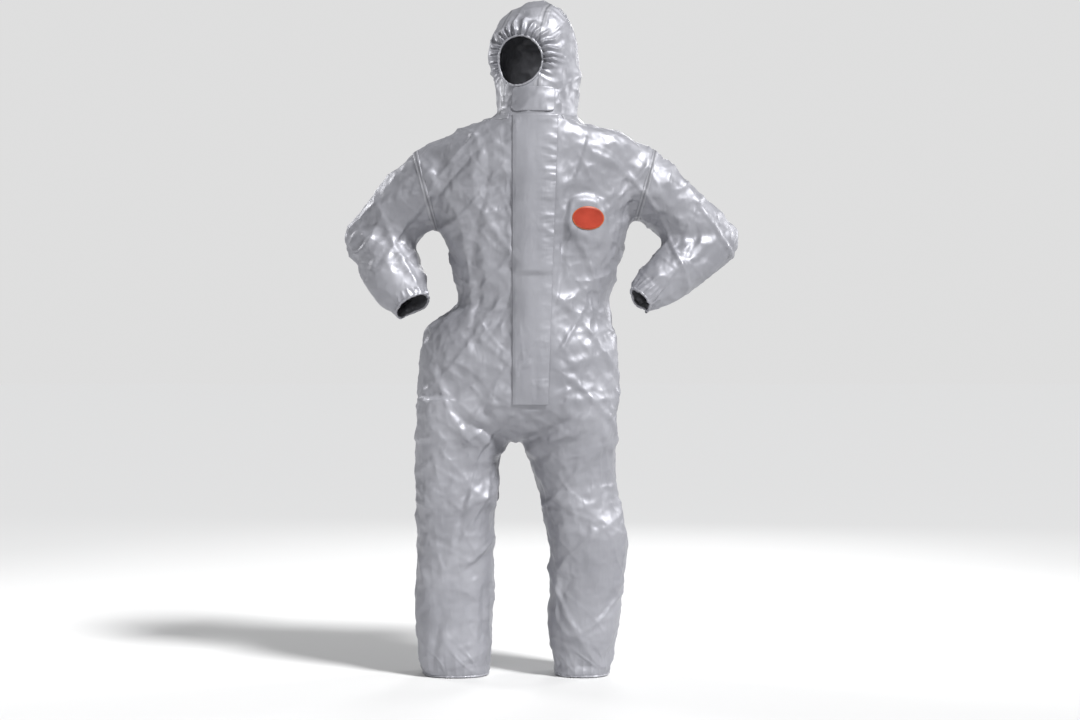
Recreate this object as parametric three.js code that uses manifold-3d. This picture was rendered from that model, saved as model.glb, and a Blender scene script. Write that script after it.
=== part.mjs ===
// Chemical protective coverall with hood, in the shape it takes on a wearer who stands with
// hands on hips. Millimetres, +Z up, the wearer faces -Y, and the wearer's left is +X.
// The fabric is one continuous skin, cut along its seams and its bending lines into panels.
// Heights are measured from the trouser hems; the finished group is lowered so that its origin
// lies between the wearer's shoulders, which carry the suit.
import * as THREE from "three";
import { LoftGeometry } from "three/addons/geometries/LoftGeometry.js";
import { mergeVertices } from "three/addons/utils/BufferGeometryUtils.js";
import Module from "manifold-3d";

const wasm = await Module();
wasm.setup();

// ---- Driving dimensions ----
const WALL = 3; // skin thickness, which stands for the fabric with its folds
const GAP = 0.4; // clearance between neighbouring pieces
const SHOULDER_HEIGHT = 1345; // of the origin above the hems
const WAIST = 1020; // waist seam
const NECK = 1446; // neck seam
const COLLAR_TOP = 1478; // where the collar ends and the hood proper starts
const CROTCH = { x: -52, z: 590 };
const HIP_SIDE_Z = 745; // height of the groin line at the side of the hip
const THIGH_TOP = 500;
const THIGH_BOTTOM = 440;
const SHIN_TOP = 240;
const HEM = 26; // depth of the ankle hems
const CUFF = 24; // depth of the wrist hems
const FACETS = { trunk: 20, limb: 14 };
const SQUARENESS = 2.5; // superellipse exponent of the sections, 2 is an ellipse
const power = (value) => Math.sign(value) * Math.abs(value) ** (2 / SQUARENESS);
const FRONT = 150; // how far the front of the trunk lies from the middle plane

const PLACKET = {
  bottom: 700,
  top: NECK,
  slot: 7.5, // half-width of the slit that the zip closes
  plane: -FRONT * power(Math.cos(Math.PI / FACETS.trunk)), // y of the flat front facet
};
const ZIP = {
  tapeReach: 19,
  tapeThick: 1,
  coilInner: 0.9,
  coilOuter: 3.6,
  coilDepth: 2.6,
  stopLength: 5,
};
const FLAP = { hinge: -60, freeTop: 58, freeBottom: 32, rise: 9, thick: 2 };
const FACE = { x: -39, z: 1583, width: 122, height: 131, yaw: 20 };
const BADGE = { x: 134, z: 1179, halfWidth: 41, halfHeight: 30, thick: 1.2 };

// Level sections of the trunk and hood: height, then how far the skin reaches to the wearer's
// right, to the left, to the front and to the back.
const trunkLevels = [
  [612, 250, 160, 70, 90],
  [640, 290, 200, 120, 130],
  [700, 313, 226, 150, 158],
  [790, 310, 227, 150, 162],
  [850, 300, 222, 150, 155],
  [900, 281, 217, 150, 145],
  [940, 240, 211, 150, 135],
  [975, 207, 205, 150, 128],
  [1020, 224, 219, 150, 132],
  [1106, 246, 240, 150, 142],
  [1180, 262, 256, 150, 148],
  [1240, 274, 266, 150, 150],
  [1330, 290, 285, 150, 135],
  [1373, 292, 292, 150, 112],
  [1400, 240, 255, 150, 98],
  [1425, 165, 175, 150, 80],
  [1446, 107, 119, 150, 68],
  [1480, 104, 116, 146, 84],
  [1520, 105, 120, 138, 104],
  [1567, 112, 126, 132, 126],
  [1609, 127, 118, 128, 134],
  [1650, 120, 110, 122, 132],
  [1698, 98, 96, 102, 112],
  [1733, 66, 68, 72, 82],
  [1757, 20, 24, 26, 32],
];

// Level sections of each leg: height, inner and outer x, then front and back reach.
const legLevels = {
  right: [
    [720, -45, -313, 145, 152],
    [640, -62, -316, 138, 140],
    [582, -83, -316, 122, 128],
    [450, -94, -320, 112, 116],
    [360, -100, -314, 108, 110],
    [293, -105, -312, 104, 106],
    [189, -111, -318, 100, 102],
    [84, -116, -310, 97, 99],
    [26, -114, -306, 94, 96],
    [0, -124, -290, 80, 82],
  ],
  left: [
    [720, -40, 222, 145, 152],
    [640, -42, 218, 138, 140],
    [582, -33, 215, 122, 128],
    [503, 0, 216, 114, 120],
    [450, 13, 222, 112, 116],
    [360, 22, 240, 110, 108],
    [293, 22, 240, 106, 104],
    [189, 28, 231, 100, 102],
    [110, 28, 222, 97, 99],
    [58, 36, 211, 94, 96],
    [26, 40, 204, 90, 92],
    [0, 52, 188, 76, 78],
  ],
};

// Each arm: where the sleeve starts inside the trunk, the elbow, the wrist, and the sleeve's
// half-widths on the way, as [share of the length, in the arm's plane, across it].
const arms = {
  right: {
    sign: -1,
    start: new THREE.Vector3(-252, 0, 1302),
    elbow: new THREE.Vector3(-422, 60, 1140),
    wrist: new THREE.Vector3(-318, -45, 958),
    armhole: new THREE.Vector3(-290, 0, 1276),
    upper: [
      [0, 100, 96],
      [0.5, 97, 90],
      [1, 95, 84],
    ],
    fore: [
      [0, 93, 84],
      [0.45, 86, 78],
      [0.75, 76, 70],
      [0.9, 60, 58],
      [1, 50, 48],
    ],
  },
  left: {
    sign: 1,
    start: new THREE.Vector3(252, 0, 1302),
    elbow: new THREE.Vector3(456, 50, 1137),
    wrist: new THREE.Vector3(266, -62, 968),
    armhole: new THREE.Vector3(287, 0, 1276),
    upper: [
      [0, 97, 94],
      [0.5, 90, 86],
      [1, 86, 80],
    ],
    fore: [
      [0, 84, 80],
      [0.45, 80, 74],
      [0.75, 72, 66],
      [0.9, 58, 54],
      [1, 46, 44],
    ],
  },
};
const BALL_INSET = 5; // the rounding ball at each arm joint is this much smaller than the sleeve
const SLEEVE_CUTS = { headEnd: 96, upperEnd: 155, foreStart: 92 }; // along the arm's bones

const COLOURS = {
  fabric: new THREE.Color(0.62, 0.63, 0.66),
  tape: new THREE.Color(0.56, 0.57, 0.6),
  elastic: new THREE.Color(0.5, 0.51, 0.53),
  zip: new THREE.Color(0.42, 0.43, 0.45),
  adhesive: new THREE.Color(0.86, 0.86, 0.82),
  badge: new THREE.Color(0.78, 0.2, 0.08),
  label: new THREE.Color(0.92, 0.92, 0.9),
};
const materials = Object.fromEntries(
  Object.entries(COLOURS).map(([name, color]) => [
    name,
    new THREE.MeshStandardMaterial({ name, color, roughness: 0.45, metalness: 0 }),
  ]),
);

// ---- Solids ----
function solid(geometry) {
  const bare = new THREE.BufferGeometry().copy(geometry);
  bare.deleteAttribute("normal");
  bare.deleteAttribute("uv");
  const merged = mergeVertices(bare, 1e-3);
  return new wasm.Manifold(
    new wasm.Mesh({
      numProp: 3,
      vertProperties: new Float32Array(merged.attributes.position.array),
      triVerts: new Uint32Array(merged.index.array),
    }),
  );
}

function geometryOf(manifold) {
  const mesh = manifold.getMesh();
  const geometry = new THREE.BufferGeometry();
  geometry.setAttribute("position", new THREE.BufferAttribute(mesh.vertProperties, 3));
  geometry.setIndex(new THREE.BufferAttribute(mesh.triVerts, 1));
  const flat = geometry.toNonIndexed();
  flat.computeVertexNormals();
  return flat;
}

function box(low, high) {
  const size = high.map((value, axis) => value - low[axis]);
  const middle = high.map((value, axis) => (value + low[axis]) / 2);
  return solid(new THREE.BoxGeometry(...size).translate(...middle));
}

// Keeps what lies on the side of the plane that the normal points to, half a gap away from it.
function trim(shape, point, normal, clearance = GAP / 2) {
  const n = normal.clone().normalize();
  return shape.trimByPlane(n.toArray(), n.dot(point) + clearance);
}

const UP = new THREE.Vector3(0, 0, 1);
const DOWN = new THREE.Vector3(0, 0, -1);
const height = (z) => new THREE.Vector3(0, 0, z);
const above = (shape, z) => trim(shape, height(z), UP);
const below = (shape, z) => trim(shape, height(z), DOWN);

// A level section, with a facet rather than a corner at the very front. Positive grow moves
// the skin outwards.
function levelSection([z, right, left, front, back], grow) {
  const points = [];
  for (let i = 0; i < FACETS.trunk; i++) {
    const angle = ((i + 0.5) / FACETS.trunk) * 2 * Math.PI;
    const [across, along] = [power(Math.cos(angle)), power(Math.sin(angle))];
    const x = across * ((across < 0 ? right : left) + grow);
    const y = along * ((along < 0 ? front : back) + grow);
    points.push(new THREE.Vector3(x, y, z));
  }
  return points;
}

function legSection([z, inner, outer, front, back], grow) {
  const middle = (inner + outer) / 2;
  const half = Math.abs(outer - inner) / 2 + grow;
  const points = [];
  for (let i = 0; i < FACETS.limb; i++) {
    const angle = ((i + 0.5) / FACETS.limb) * 2 * Math.PI;
    const along = power(Math.sin(angle));
    const y = along * ((along < 0 ? front : back) + grow);
    points.push(new THREE.Vector3(middle + half * power(Math.cos(angle)), y, z));
  }
  return points;
}

// A section square to a bone, with its second axis as near the Y axis as it can be.
function boneSection(from, to, [share, half, depth], grow) {
  const along = to.clone().sub(from).normalize();
  const centre = from.clone().lerp(to, share);
  const side = new THREE.Vector3(0, 1, 0).addScaledVector(along, -along.y).normalize();
  const out = side.clone().cross(along);
  const points = [];
  for (let i = 0; i < FACETS.limb; i++) {
    const angle = (i / FACETS.limb) * 2 * Math.PI;
    points.push(
      centre
        .clone()
        .addScaledVector(out, (half + grow) * Math.cos(angle))
        .addScaledVector(side, (depth + grow) * Math.sin(angle)),
    );
  }
  return points;
}

const loft = (sections) => solid(new LoftGeometry(sections, { capStart: true, capEnd: true }));

function trunkBody(grow) {
  const levels = trunkLevels.map((level) => [...level]);
  levels[0][0] -= grow;
  levels[levels.length - 1][0] += grow;
  return loft(levels.map((level) => levelSection(level, grow)));
}

// open: how far the solid runs past the hem, so that an inner solid opens it
function legBody(side, grow, open = 0) {
  const levels = [...legLevels[side]].reverse();
  if (open) levels.unshift([-open, ...levels[0].slice(1)]);
  return loft(levels.map((level) => legSection(level, grow)));
}

function armBody(side, grow, open = 0) {
  const arm = arms[side];
  const cuff = arm.fore[arm.fore.length - 1];
  const past = [1 + open / arm.elbow.distanceTo(arm.wrist), ...cuff.slice(1)];
  const fore = open ? [...arm.fore, past] : arm.fore;
  const ball = (centre, radius) => {
    const sphere = new THREE.SphereGeometry(radius + grow, FACETS.limb, FACETS.limb / 2);
    return solid(sphere.scale(1, 0.92, 1).translate(...centre.toArray()));
  };
  return loft(arm.upper.map((row) => boneSection(arm.start, arm.elbow, row, grow)))
    .add(loft(fore.map((row) => boneSection(arm.elbow, arm.wrist, row, grow))))
    .add(ball(arm.start, arm.upper[0][1] - BALL_INSET))
    .add(ball(arm.elbow, arm.fore[0][1] - BALL_INSET));
}

const SIDES = ["right", "left"];
const FAR = 900; // past everything
const OPEN_END = 20;

function body(grow, open) {
  return SIDES.reduce(
    (whole, side) => whole.add(legBody(side, grow, open)).add(armBody(side, grow, open)),
    trunkBody(grow),
  );
}

const yawed = (x, y) => {
  const yaw = THREE.MathUtils.degToRad(-FACE.yaw);
  return [x * Math.cos(yaw) - y * Math.sin(yaw), x * Math.sin(yaw) + y * Math.cos(yaw)];
};

// An oval column through the face opening, pointing the way that the wearer looks.
function faceColumn(grow, reach = 260) {
  const column = new THREE.CylinderGeometry(0.5, 0.5, reach, FACETS.trunk);
  column.scale(FACE.width + 2 * grow, 1, FACE.height + 2 * grow);
  column.translate(0, -reach / 2, 0);
  column.rotateZ(THREE.MathUtils.degToRad(-FACE.yaw));
  const [x, y] = yawed(0, 0);
  return solid(column.translate(x, y, FACE.z));
}

const skin = body(0, 0).subtract(body(-WALL, OPEN_END)).subtract(faceColumn(0));

// A layer that lies over the skin, between two distances from it.
const overTrunk = (from, to) => trunkBody(to).subtract(trunkBody(from));

// ---- Nodes ----
const suit = new THREE.Group();
suit.position.z = -SHOULDER_HEIGHT;

// A cut can leave slivers where two surfaces nearly meet, so each node keeps its largest body.
function largest(shape) {
  return shape.decompose().reduce((best, next) => (next.volume() > best.volume() ? next : best));
}

function add(name, shape, material = "fabric") {
  const mesh = new THREE.Mesh(geometryOf(largest(shape)), materials[material]);
  mesh.name = name;
  suit.add(mesh);
}

// Arms: cut off the skin at the armhole, then across the bones.
const upperAxis = (arm) => arm.elbow.clone().sub(arm.start).normalize();
const foreAxis = (arm) => arm.wrist.clone().sub(arm.elbow).normalize();
const armholeNormal = (arm) => new THREE.Vector3(0.966 * arm.sign, 0, -0.259);

// The space that belongs to a sleeve: the arm's body beyond the armhole plane.
function armZone(side, clearance) {
  const arm = arms[side];
  return trim(armBody(side, 1 - clearance, 2), arm.armhole, armholeNormal(arm), clearance);
}

function sleeve(side) {
  const arm = arms[side];
  const [up, fore] = [upperAxis(arm), foreAxis(arm)];
  const back = (axis) => axis.clone().negate();
  const onUpper = (distance) => arm.start.clone().addScaledVector(up, distance);
  const onFore = (distance) => arm.elbow.clone().addScaledVector(fore, distance);
  const length = arm.elbow.distanceTo(arm.wrist);
  const all = skin.intersect(armZone(side, GAP / 2));
  // The plane across the elbow parts the upper arm from the forearm.
  const bend = fore.clone().add(up);
  const upperHalf = trim(all, arm.elbow, back(bend), 0);
  const foreHalf = trim(all, arm.elbow, bend, 0);
  add(`sleeve_head_${side}`, trim(upperHalf, onUpper(SLEEVE_CUTS.headEnd), back(up)));
  add(
    `sleeve_upper_${side}`,
    trim(trim(upperHalf, onUpper(SLEEVE_CUTS.headEnd), up), onUpper(SLEEVE_CUTS.upperEnd), back(up)),
  );
  const space = box([-FAR, -FAR, -FAR], [FAR, FAR, 2 * FAR]);
  const beforeElbow = trim(
    trim(space, arm.elbow, back(bend), 0),
    onUpper(SLEEVE_CUTS.upperEnd),
    back(up),
    -GAP / 2,
  );
  const afterElbow = trim(
    trim(space, arm.elbow, bend, 0),
    onFore(SLEEVE_CUTS.foreStart),
    fore,
    -GAP / 2,
  );
  add(`sleeve_elbow_${side}`, all.subtract(beforeElbow).subtract(afterElbow));
  add(
    `sleeve_lower_${side}`,
    trim(trim(foreHalf, onFore(SLEEVE_CUTS.foreStart), fore), onFore(length - CUFF), back(fore)),
  );
  add(`wrist_hem_${side}`, trim(foreHalf, onFore(length - CUFF), fore));
  // The elastic lies inside the hem.
  const row = arm.fore[arm.fore.length - 1];
  const elastic = (grow, [from, to]) =>
    loft(
      [from, to].map((share) =>
        boneSection(arm.elbow, arm.wrist, [share, row[1], row[2]], grow - WALL - GAP),
      ),
    );
  const span = [1 - 14 / length, 1 - 4 / length];
  const through = [span[0] - 0.05, span[1] + 0.05];
  add(
    `wrist_elastic_${side}`,
    elastic(0, span).subtract(elastic(-2, through)),
    "elastic",
  );
}

// Legs: cut off the trunk along the groin line, then at the knee.
const groin = {
  right: { sign: -1, reach: -316 },
  left: { sign: 1, reach: 228 },
};

function groinNormal(side) {
  const { reach } = groin[side];
  const line = new THREE.Vector3(reach - CROTCH.x, 0, HIP_SIDE_Z - CROTCH.z).normalize();
  const normal = line.cross(new THREE.Vector3(0, 1, 0));
  return normal.z < 0 ? normal.negate() : normal;
}

const crotchPoint = new THREE.Vector3(CROTCH.x, 0, CROTCH.z);

function leg(side) {
  const outwards = new THREE.Vector3(groin[side].sign, 0, 0);
  const all = trim(
    trim(skin, crotchPoint, groinNormal(side).negate()),
    crotchPoint,
    outwards,
    0,
  );
  add(`leg_groin_${side}`, above(all, THIGH_TOP));
  add(`leg_thigh_${side}`, below(above(all, THIGH_BOTTOM), THIGH_TOP));
  add(`leg_knee_${side}`, below(above(all, SHIN_TOP), THIGH_BOTTOM));
  add(`leg_shin_${side}`, below(above(all, HEM), SHIN_TOP));
  add(`ankle_hem_${side}`, below(all, HEM));
  const hem = legLevels[side][legLevels[side].length - 1];
  const band = (grow, low, high) =>
    loft([low, high].map((z) => legSection([z, ...hem.slice(1)], grow - WALL - GAP)));
  add(`ankle_elastic_${side}`, band(0, 4, 14).subtract(band(-2, 2, 16)), "elastic");
}

// Trunk: everything between the groin lines and the neck, less the arms.
function trunk() {
  const slot = box(
    [-PLACKET.slot, -FAR, PLACKET.bottom],
    [PLACKET.slot, 0, PLACKET.top + 1],
  );
  let all = below(skin, NECK);
  for (const side of SIDES) {
    all = all.subtract(armZone(side, -GAP / 2));
    all = trim(all, crotchPoint, groinNormal(side));
  }
  const middle = new THREE.Vector3(0, 0, 0);
  const front = trim(all, middle, new THREE.Vector3(0, -1, 0)).subtract(slot);
  const back = trim(all, middle, new THREE.Vector3(0, 1, 0));
  const towards = (sign) => new THREE.Vector3(sign, 0, 0);
  add("chest_right", trim(above(front, WAIST), middle, towards(-1)));
  add("chest_left", trim(above(front, WAIST), middle, towards(1)));
  add("back_panel", above(back, WAIST));

  const gussetBox = (grow) =>
    box(
      [CROTCH.x - 38 - grow, -80 - grow, 500],
      [CROTCH.x + 38 + grow, 80 + grow, 655 + grow],
    );
  const seam = new THREE.Vector3(CROTCH.x, 0, 0);
  const lowerFront = below(front, WAIST).subtract(gussetBox(GAP));
  const lowerBack = below(back, WAIST).subtract(gussetBox(GAP));
  add("hip_front_right", trim(lowerFront, middle, towards(-1)));
  add("hip_front_left", trim(lowerFront, middle, towards(1)));
  add("seat_right", trim(lowerBack, seam, towards(-1)));
  add("seat_left", trim(lowerBack, seam, towards(1)));
  add("crotch_gusset", below(all, WAIST).intersect(gussetBox(0)));

  // The waist elastic is bonded inside the back of the waist.
  const band = trunkBody(-WALL - GAP).subtract(trunkBody(-WALL - GAP - 2));
  const backBand = trim(band, new THREE.Vector3(0, 12, 0), new THREE.Vector3(0, 1, 0));
  add("waist_elastic", below(above(backBand, 962), 988), "elastic");
}

// Tapes sealed over the seams on the outside.
function seamTapes() {
  for (const side of SIDES) {
    const arm = arms[side];
    const n = armholeNormal(arm);
    const ring = armBody(side, 1.7).subtract(armBody(side, 0.5)).subtract(trunkBody(0.5));
    const inner = arm.armhole.clone().addScaledVector(n, 2);
    const outer = arm.armhole.clone().addScaledVector(n, 24);
    add(`armhole_tape_${side}`, trim(trim(ring, inner, n), outer, n.clone().negate()), "tape");
  }
  const around = below(above(overTrunk(0.5, 1.7), NECK - 20), NECK - 1);
  const clear = box([FLAP.hinge - 4, -FAR, 0], [FLAP.freeTop + 6, 0, 2 * FAR]);
  add("neck_tape", around.subtract(clear), "tape");
}

// Hood: three panels over the head, two below the chin, and the collar that joins the trunk.
function hood() {
  const all = above(skin, COLLAR_TOP);
  const panelHalf = 52;
  const middle = new THREE.Vector3(...yawed(0, 0), 0);
  const across = new THREE.Vector3(...yawed(1, 0), 0);
  const ahead = new THREE.Vector3(...yawed(0, -1), 0);
  const seam = (sign) => middle.clone().addScaledVector(across, sign * panelHalf);
  const chinSeam = FACE.z - 30;
  const under = trim(below(all, chinSeam), middle, ahead, 40);
  const overChin = all.subtract(
    trim(below(all, chinSeam + 2 * GAP), middle, ahead, 40 - GAP),
  );
  add("hood_collar", below(above(skin, NECK), COLLAR_TOP));
  add("hood_right", trim(overChin, seam(-1), across.clone().negate()));
  add("hood_left", trim(overChin, seam(1), across));
  add("hood_centre", trim(trim(overChin, seam(-1), across), seam(1), across.clone().negate()));
  add("chin_right", trim(under, new THREE.Vector3(), new THREE.Vector3(-1, 0, 0)));
  add("chin_left", trim(under, new THREE.Vector3(), new THREE.Vector3(1, 0, 0)));
  // The face elastic runs inside the edge of the opening.
  const inside = trunkBody(-WALL - 1.2).subtract(trunkBody(-WALL - 3.6));
  const ring = inside.intersect(faceColumn(9)).subtract(faceColumn(1));
  add("face_elastic", ring, "elastic");
}

// Placket: the zip in its slit, the inner flap behind it and the storm flap over it.
function placket() {
  const { plane, bottom, top } = PLACKET;
  const tapeFront = plane + WALL + 0.6;
  const tapeBack = tapeFront + ZIP.tapeThick;
  const coilFront = tapeFront - GAP - ZIP.coilDepth;
  const low = bottom + 4;
  const high = top - 8;
  for (const [side, sign] of [
    ["right", -1],
    ["left", 1],
  ]) {
    const span = (near, far) => [Math.min(sign * near, sign * far), Math.max(sign * near, sign * far)];
    const [t0, t1] = span(ZIP.coilInner, ZIP.tapeReach);
    const [c0, c1] = span(ZIP.coilInner, ZIP.coilOuter);
    add(`zip_tape_${side}`, box([t0, tapeFront, low], [t1, tapeBack, high]), "zip");
    add(`zip_coil_${side}`, box([c0, coilFront, low + 8], [c1, tapeFront - GAP, high - 8]), "zip");
    add(
      `zip_top_stop_${side}`,
      box([c0, coilFront, high - 7], [c1, tapeFront - GAP, high - 7 + ZIP.stopLength]),
      "zip",
    );
  }
  const stop = ZIP.coilOuter;
  add(
    "zip_bottom_stop",
    box([-stop, coilFront, low + 2], [stop, tapeFront - GAP, low + 2 + ZIP.stopLength]),
    "zip",
  );
  add(
    "inner_flap",
    box([-34, tapeBack + 3.5, low - 2], [30, tapeBack + 5.5, high + 2]),
    "fabric",
  );

  // The slider straddles the coils: a front and a back plate, joined between them.
  const sliderTop = high - 9;
  const sliderLow = sliderTop - 14;
  const half = 5.6;
  const bridge = ZIP.coilInner - GAP;
  const frontPlate = [coilFront - 1.9, coilFront - GAP];
  const backPlate = [tapeBack + GAP, tapeBack + 1.9];
  const slider = box([-half, frontPlate[0], sliderLow], [half, frontPlate[1], sliderTop])
    .add(box([-half, backPlate[0], sliderLow], [half, backPlate[1], sliderTop]))
    .add(box([-bridge, frontPlate[0], sliderTop - 6], [bridge, backPlate[1], sliderTop]));
  add("zip_slider", slider, "zip");
  const pull = new THREE.Shape();
  pull.moveTo(-3, 0);
  pull.lineTo(3, 0);
  pull.lineTo(4, -20);
  pull.absarc(0, -20, 4, 0, -Math.PI, true);
  pull.closePath();
  const hole = new THREE.Path().absarc(0, -19.5, 2, 0, 2 * Math.PI);
  pull.holes.push(hole);
  const tab = new THREE.ExtrudeGeometry(pull, { depth: 1.2, bevelEnabled: false, curveSegments: 8 });
  tab.rotateX(Math.PI / 2).translate(0, frontPlate[0] - GAP, sliderTop - 2);
  add("zip_pull", solid(tab), "zip");

  // The storm flap arches over the zip from its hinge edge to its free edge, and narrows
  // downwards.
  const narrowed = (piece) =>
    piece.warp((place) => {
      const share = (place[2] - low) / (high - low);
      const free = THREE.MathUtils.lerp(FLAP.freeBottom, FLAP.freeTop, share);
      place[0] =
        FLAP.hinge + ((place[0] - FLAP.hinge) * (free - FLAP.hinge)) / (FLAP.freeTop - FLAP.hinge);
    });
  const edge = plane - 1.4;
  const crest = edge - 2 * FLAP.rise;
  const middleX = (FLAP.hinge + FLAP.freeTop) / 2;
  const arch = new THREE.Shape();
  arch.moveTo(FLAP.hinge, edge);
  arch.quadraticCurveTo(middleX, crest, FLAP.freeTop, edge);
  arch.lineTo(FLAP.freeTop, edge - FLAP.thick);
  arch.quadraticCurveTo(middleX, crest - FLAP.thick, FLAP.hinge, edge - FLAP.thick);
  arch.closePath();
  const sheet = new THREE.ExtrudeGeometry(arch, {
    depth: high + 6 - low,
    bevelEnabled: false,
    curveSegments: 10,
  });
  add("storm_flap", narrowed(solid(sheet.translate(0, 0, low - 2))));
  const edgeStrip = box([FLAP.freeTop - 9, -FAR, low + 4], [FLAP.freeTop - 1, 0, high - 2]);
  add(
    "storm_flap_adhesive",
    overTrunk(0.5, 1.1).intersect(narrowed(edgeStrip)),
    "adhesive",
  );
}

// Chin flap: a patch over the front of the collar and chin, on its own hinge edge.
function chinFlap() {
  const reach = { right: -62, left: 50, low: NECK + 4, high: 1515 };
  const zone = (inset) =>
    box(
      [reach.right + inset, -FAR, reach.low + inset],
      [reach.left - inset, 0, reach.high - inset],
    );
  add("chin_flap", overTrunk(1.6, 3.6).intersect(zone(0)));
  const strip = box([reach.left - 14, -FAR, reach.low + 6], [reach.left - 3, 0, reach.high - 6]);
  add("chin_flap_adhesive", overTrunk(0.6, 1.2).intersect(strip), "adhesive");
}

function badgeAndLabel() {
  const column = new THREE.CylinderGeometry(1, 1, 300, 44);
  column.scale(BADGE.halfWidth, 1, BADGE.halfHeight).translate(BADGE.x, -200, BADGE.z);
  add("chest_badge", overTrunk(0.5, 0.5 + BADGE.thick).intersect(solid(column)), "badge");
  const inside = trunkBody(-WALL - GAP).subtract(trunkBody(-WALL - GAP - 0.8));
  const label = box([-24, 0, 1352], [24, FAR, 1412]);
  add("size_label", inside.intersect(label), "label");
}

SIDES.forEach(sleeve);
SIDES.forEach(leg);
trunk();
seamTapes();
hood();
placket();
chinFlap();
badgeAndLabel();

export default suit;
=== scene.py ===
"""Chemical protective coverall with hood: the visible fabric, seams, flaps and elastics.

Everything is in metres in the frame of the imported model: +Z up, the wearer faces -Y, and the
wearer's left is +X. Heights in the tables are millimetres above the trouser hems.
"""

import math

import bmesh
import bpy
import numpy as np
from bpy.props import FloatProperty, FloatVectorProperty, IntProperty, PointerProperty
from bpy.types import Operator, Panel, PropertyGroup
from mathutils import Matrix, Vector, noise
from mathutils.bvhtree import BVHTree
from mathutils.kdtree import KDTree


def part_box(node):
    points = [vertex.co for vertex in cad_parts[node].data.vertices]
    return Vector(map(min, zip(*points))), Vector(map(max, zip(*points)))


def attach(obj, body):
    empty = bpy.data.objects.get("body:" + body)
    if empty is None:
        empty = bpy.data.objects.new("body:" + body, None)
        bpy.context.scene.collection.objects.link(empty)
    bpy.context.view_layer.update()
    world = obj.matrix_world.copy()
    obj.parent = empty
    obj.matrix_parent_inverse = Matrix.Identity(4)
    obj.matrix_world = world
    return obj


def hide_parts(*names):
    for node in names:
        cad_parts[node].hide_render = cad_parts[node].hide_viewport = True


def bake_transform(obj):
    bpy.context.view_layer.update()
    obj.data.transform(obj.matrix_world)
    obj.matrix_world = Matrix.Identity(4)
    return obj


bl_info = {
    "name": "Protective Coverall",
    "version": (1, 0, 0),
    "blender": (4, 5, 0),
    "location": "3D View > Sidebar > Coverall",
    "description": "Builds a hooded chemical protective coverall around its packed frame",
    "category": "Add Mesh",
}

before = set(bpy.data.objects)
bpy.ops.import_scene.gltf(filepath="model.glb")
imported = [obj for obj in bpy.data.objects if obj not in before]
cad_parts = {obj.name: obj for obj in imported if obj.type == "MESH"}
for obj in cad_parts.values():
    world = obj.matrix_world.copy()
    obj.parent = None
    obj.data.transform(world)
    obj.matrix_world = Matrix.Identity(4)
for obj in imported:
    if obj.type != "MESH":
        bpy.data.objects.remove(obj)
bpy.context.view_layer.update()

MM = 0.001
HEM_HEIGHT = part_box("ankle_hem_right")[0].z
FRONT_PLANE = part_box("chest_right")[0].y
SIDES = (("right", -1), ("left", 1))


def at(x, y, z):
    """A point from millimetres, with its height counted from the trouser hems."""
    return Vector((x * MM, y * MM, z * MM + HEM_HEIGHT))


# ---- The suit's measurements ----

SQUARENESS = 2.5  # superellipse exponent of the sections
# Height, then the reach to the wearer's right, left, front and back.
TRUNK = (
    (600, 250, 160, 70, 90), (640, 290, 200, 120, 130), (700, 313, 226, 150, 158),
    (790, 310, 227, 150, 162), (850, 300, 222, 150, 155), (900, 281, 217, 150, 145),
    (940, 240, 211, 150, 135), (975, 207, 205, 150, 128), (1020, 224, 219, 150, 132),
    (1106, 246, 240, 150, 142), (1180, 262, 256, 150, 148), (1240, 274, 266, 150, 150),
    (1330, 290, 285, 150, 135), (1373, 292, 292, 150, 112), (1400, 240, 255, 150, 98),
    (1425, 165, 175, 150, 80), (1446, 107, 119, 150, 68), (1480, 104, 116, 146, 84),
    (1520, 105, 120, 138, 104), (1567, 112, 126, 132, 126), (1609, 127, 118, 128, 134),
    (1650, 120, 110, 122, 132), (1698, 98, 96, 102, 112), (1733, 66, 68, 72, 82),
    (1755, 20, 24, 26, 32),
)
# Height, inner and outer x, front and back reach.
LEGS = {
    "right": (
        (720, -45, -313, 145, 152), (640, -62, -316, 138, 140), (582, -83, -316, 122, 128),
        (450, -94, -320, 112, 116), (360, -100, -314, 108, 110), (293, -105, -312, 104, 106),
        (189, -111, -318, 100, 102), (84, -116, -310, 97, 99), (26, -114, -306, 94, 96),
        (-8, -124, -290, 80, 82),
    ),
    "left": (
        (720, -40, 222, 145, 152), (640, -42, 218, 138, 140), (582, -33, 215, 122, 128),
        (503, 0, 216, 114, 120), (450, 13, 222, 112, 116), (360, 22, 240, 110, 108),
        (293, 22, 240, 106, 104), (189, 28, 231, 100, 102), (110, 28, 222, 97, 99),
        (58, 36, 211, 94, 96), (26, 40, 204, 90, 92), (-8, 52, 188, 76, 78),
    ),
}
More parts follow.
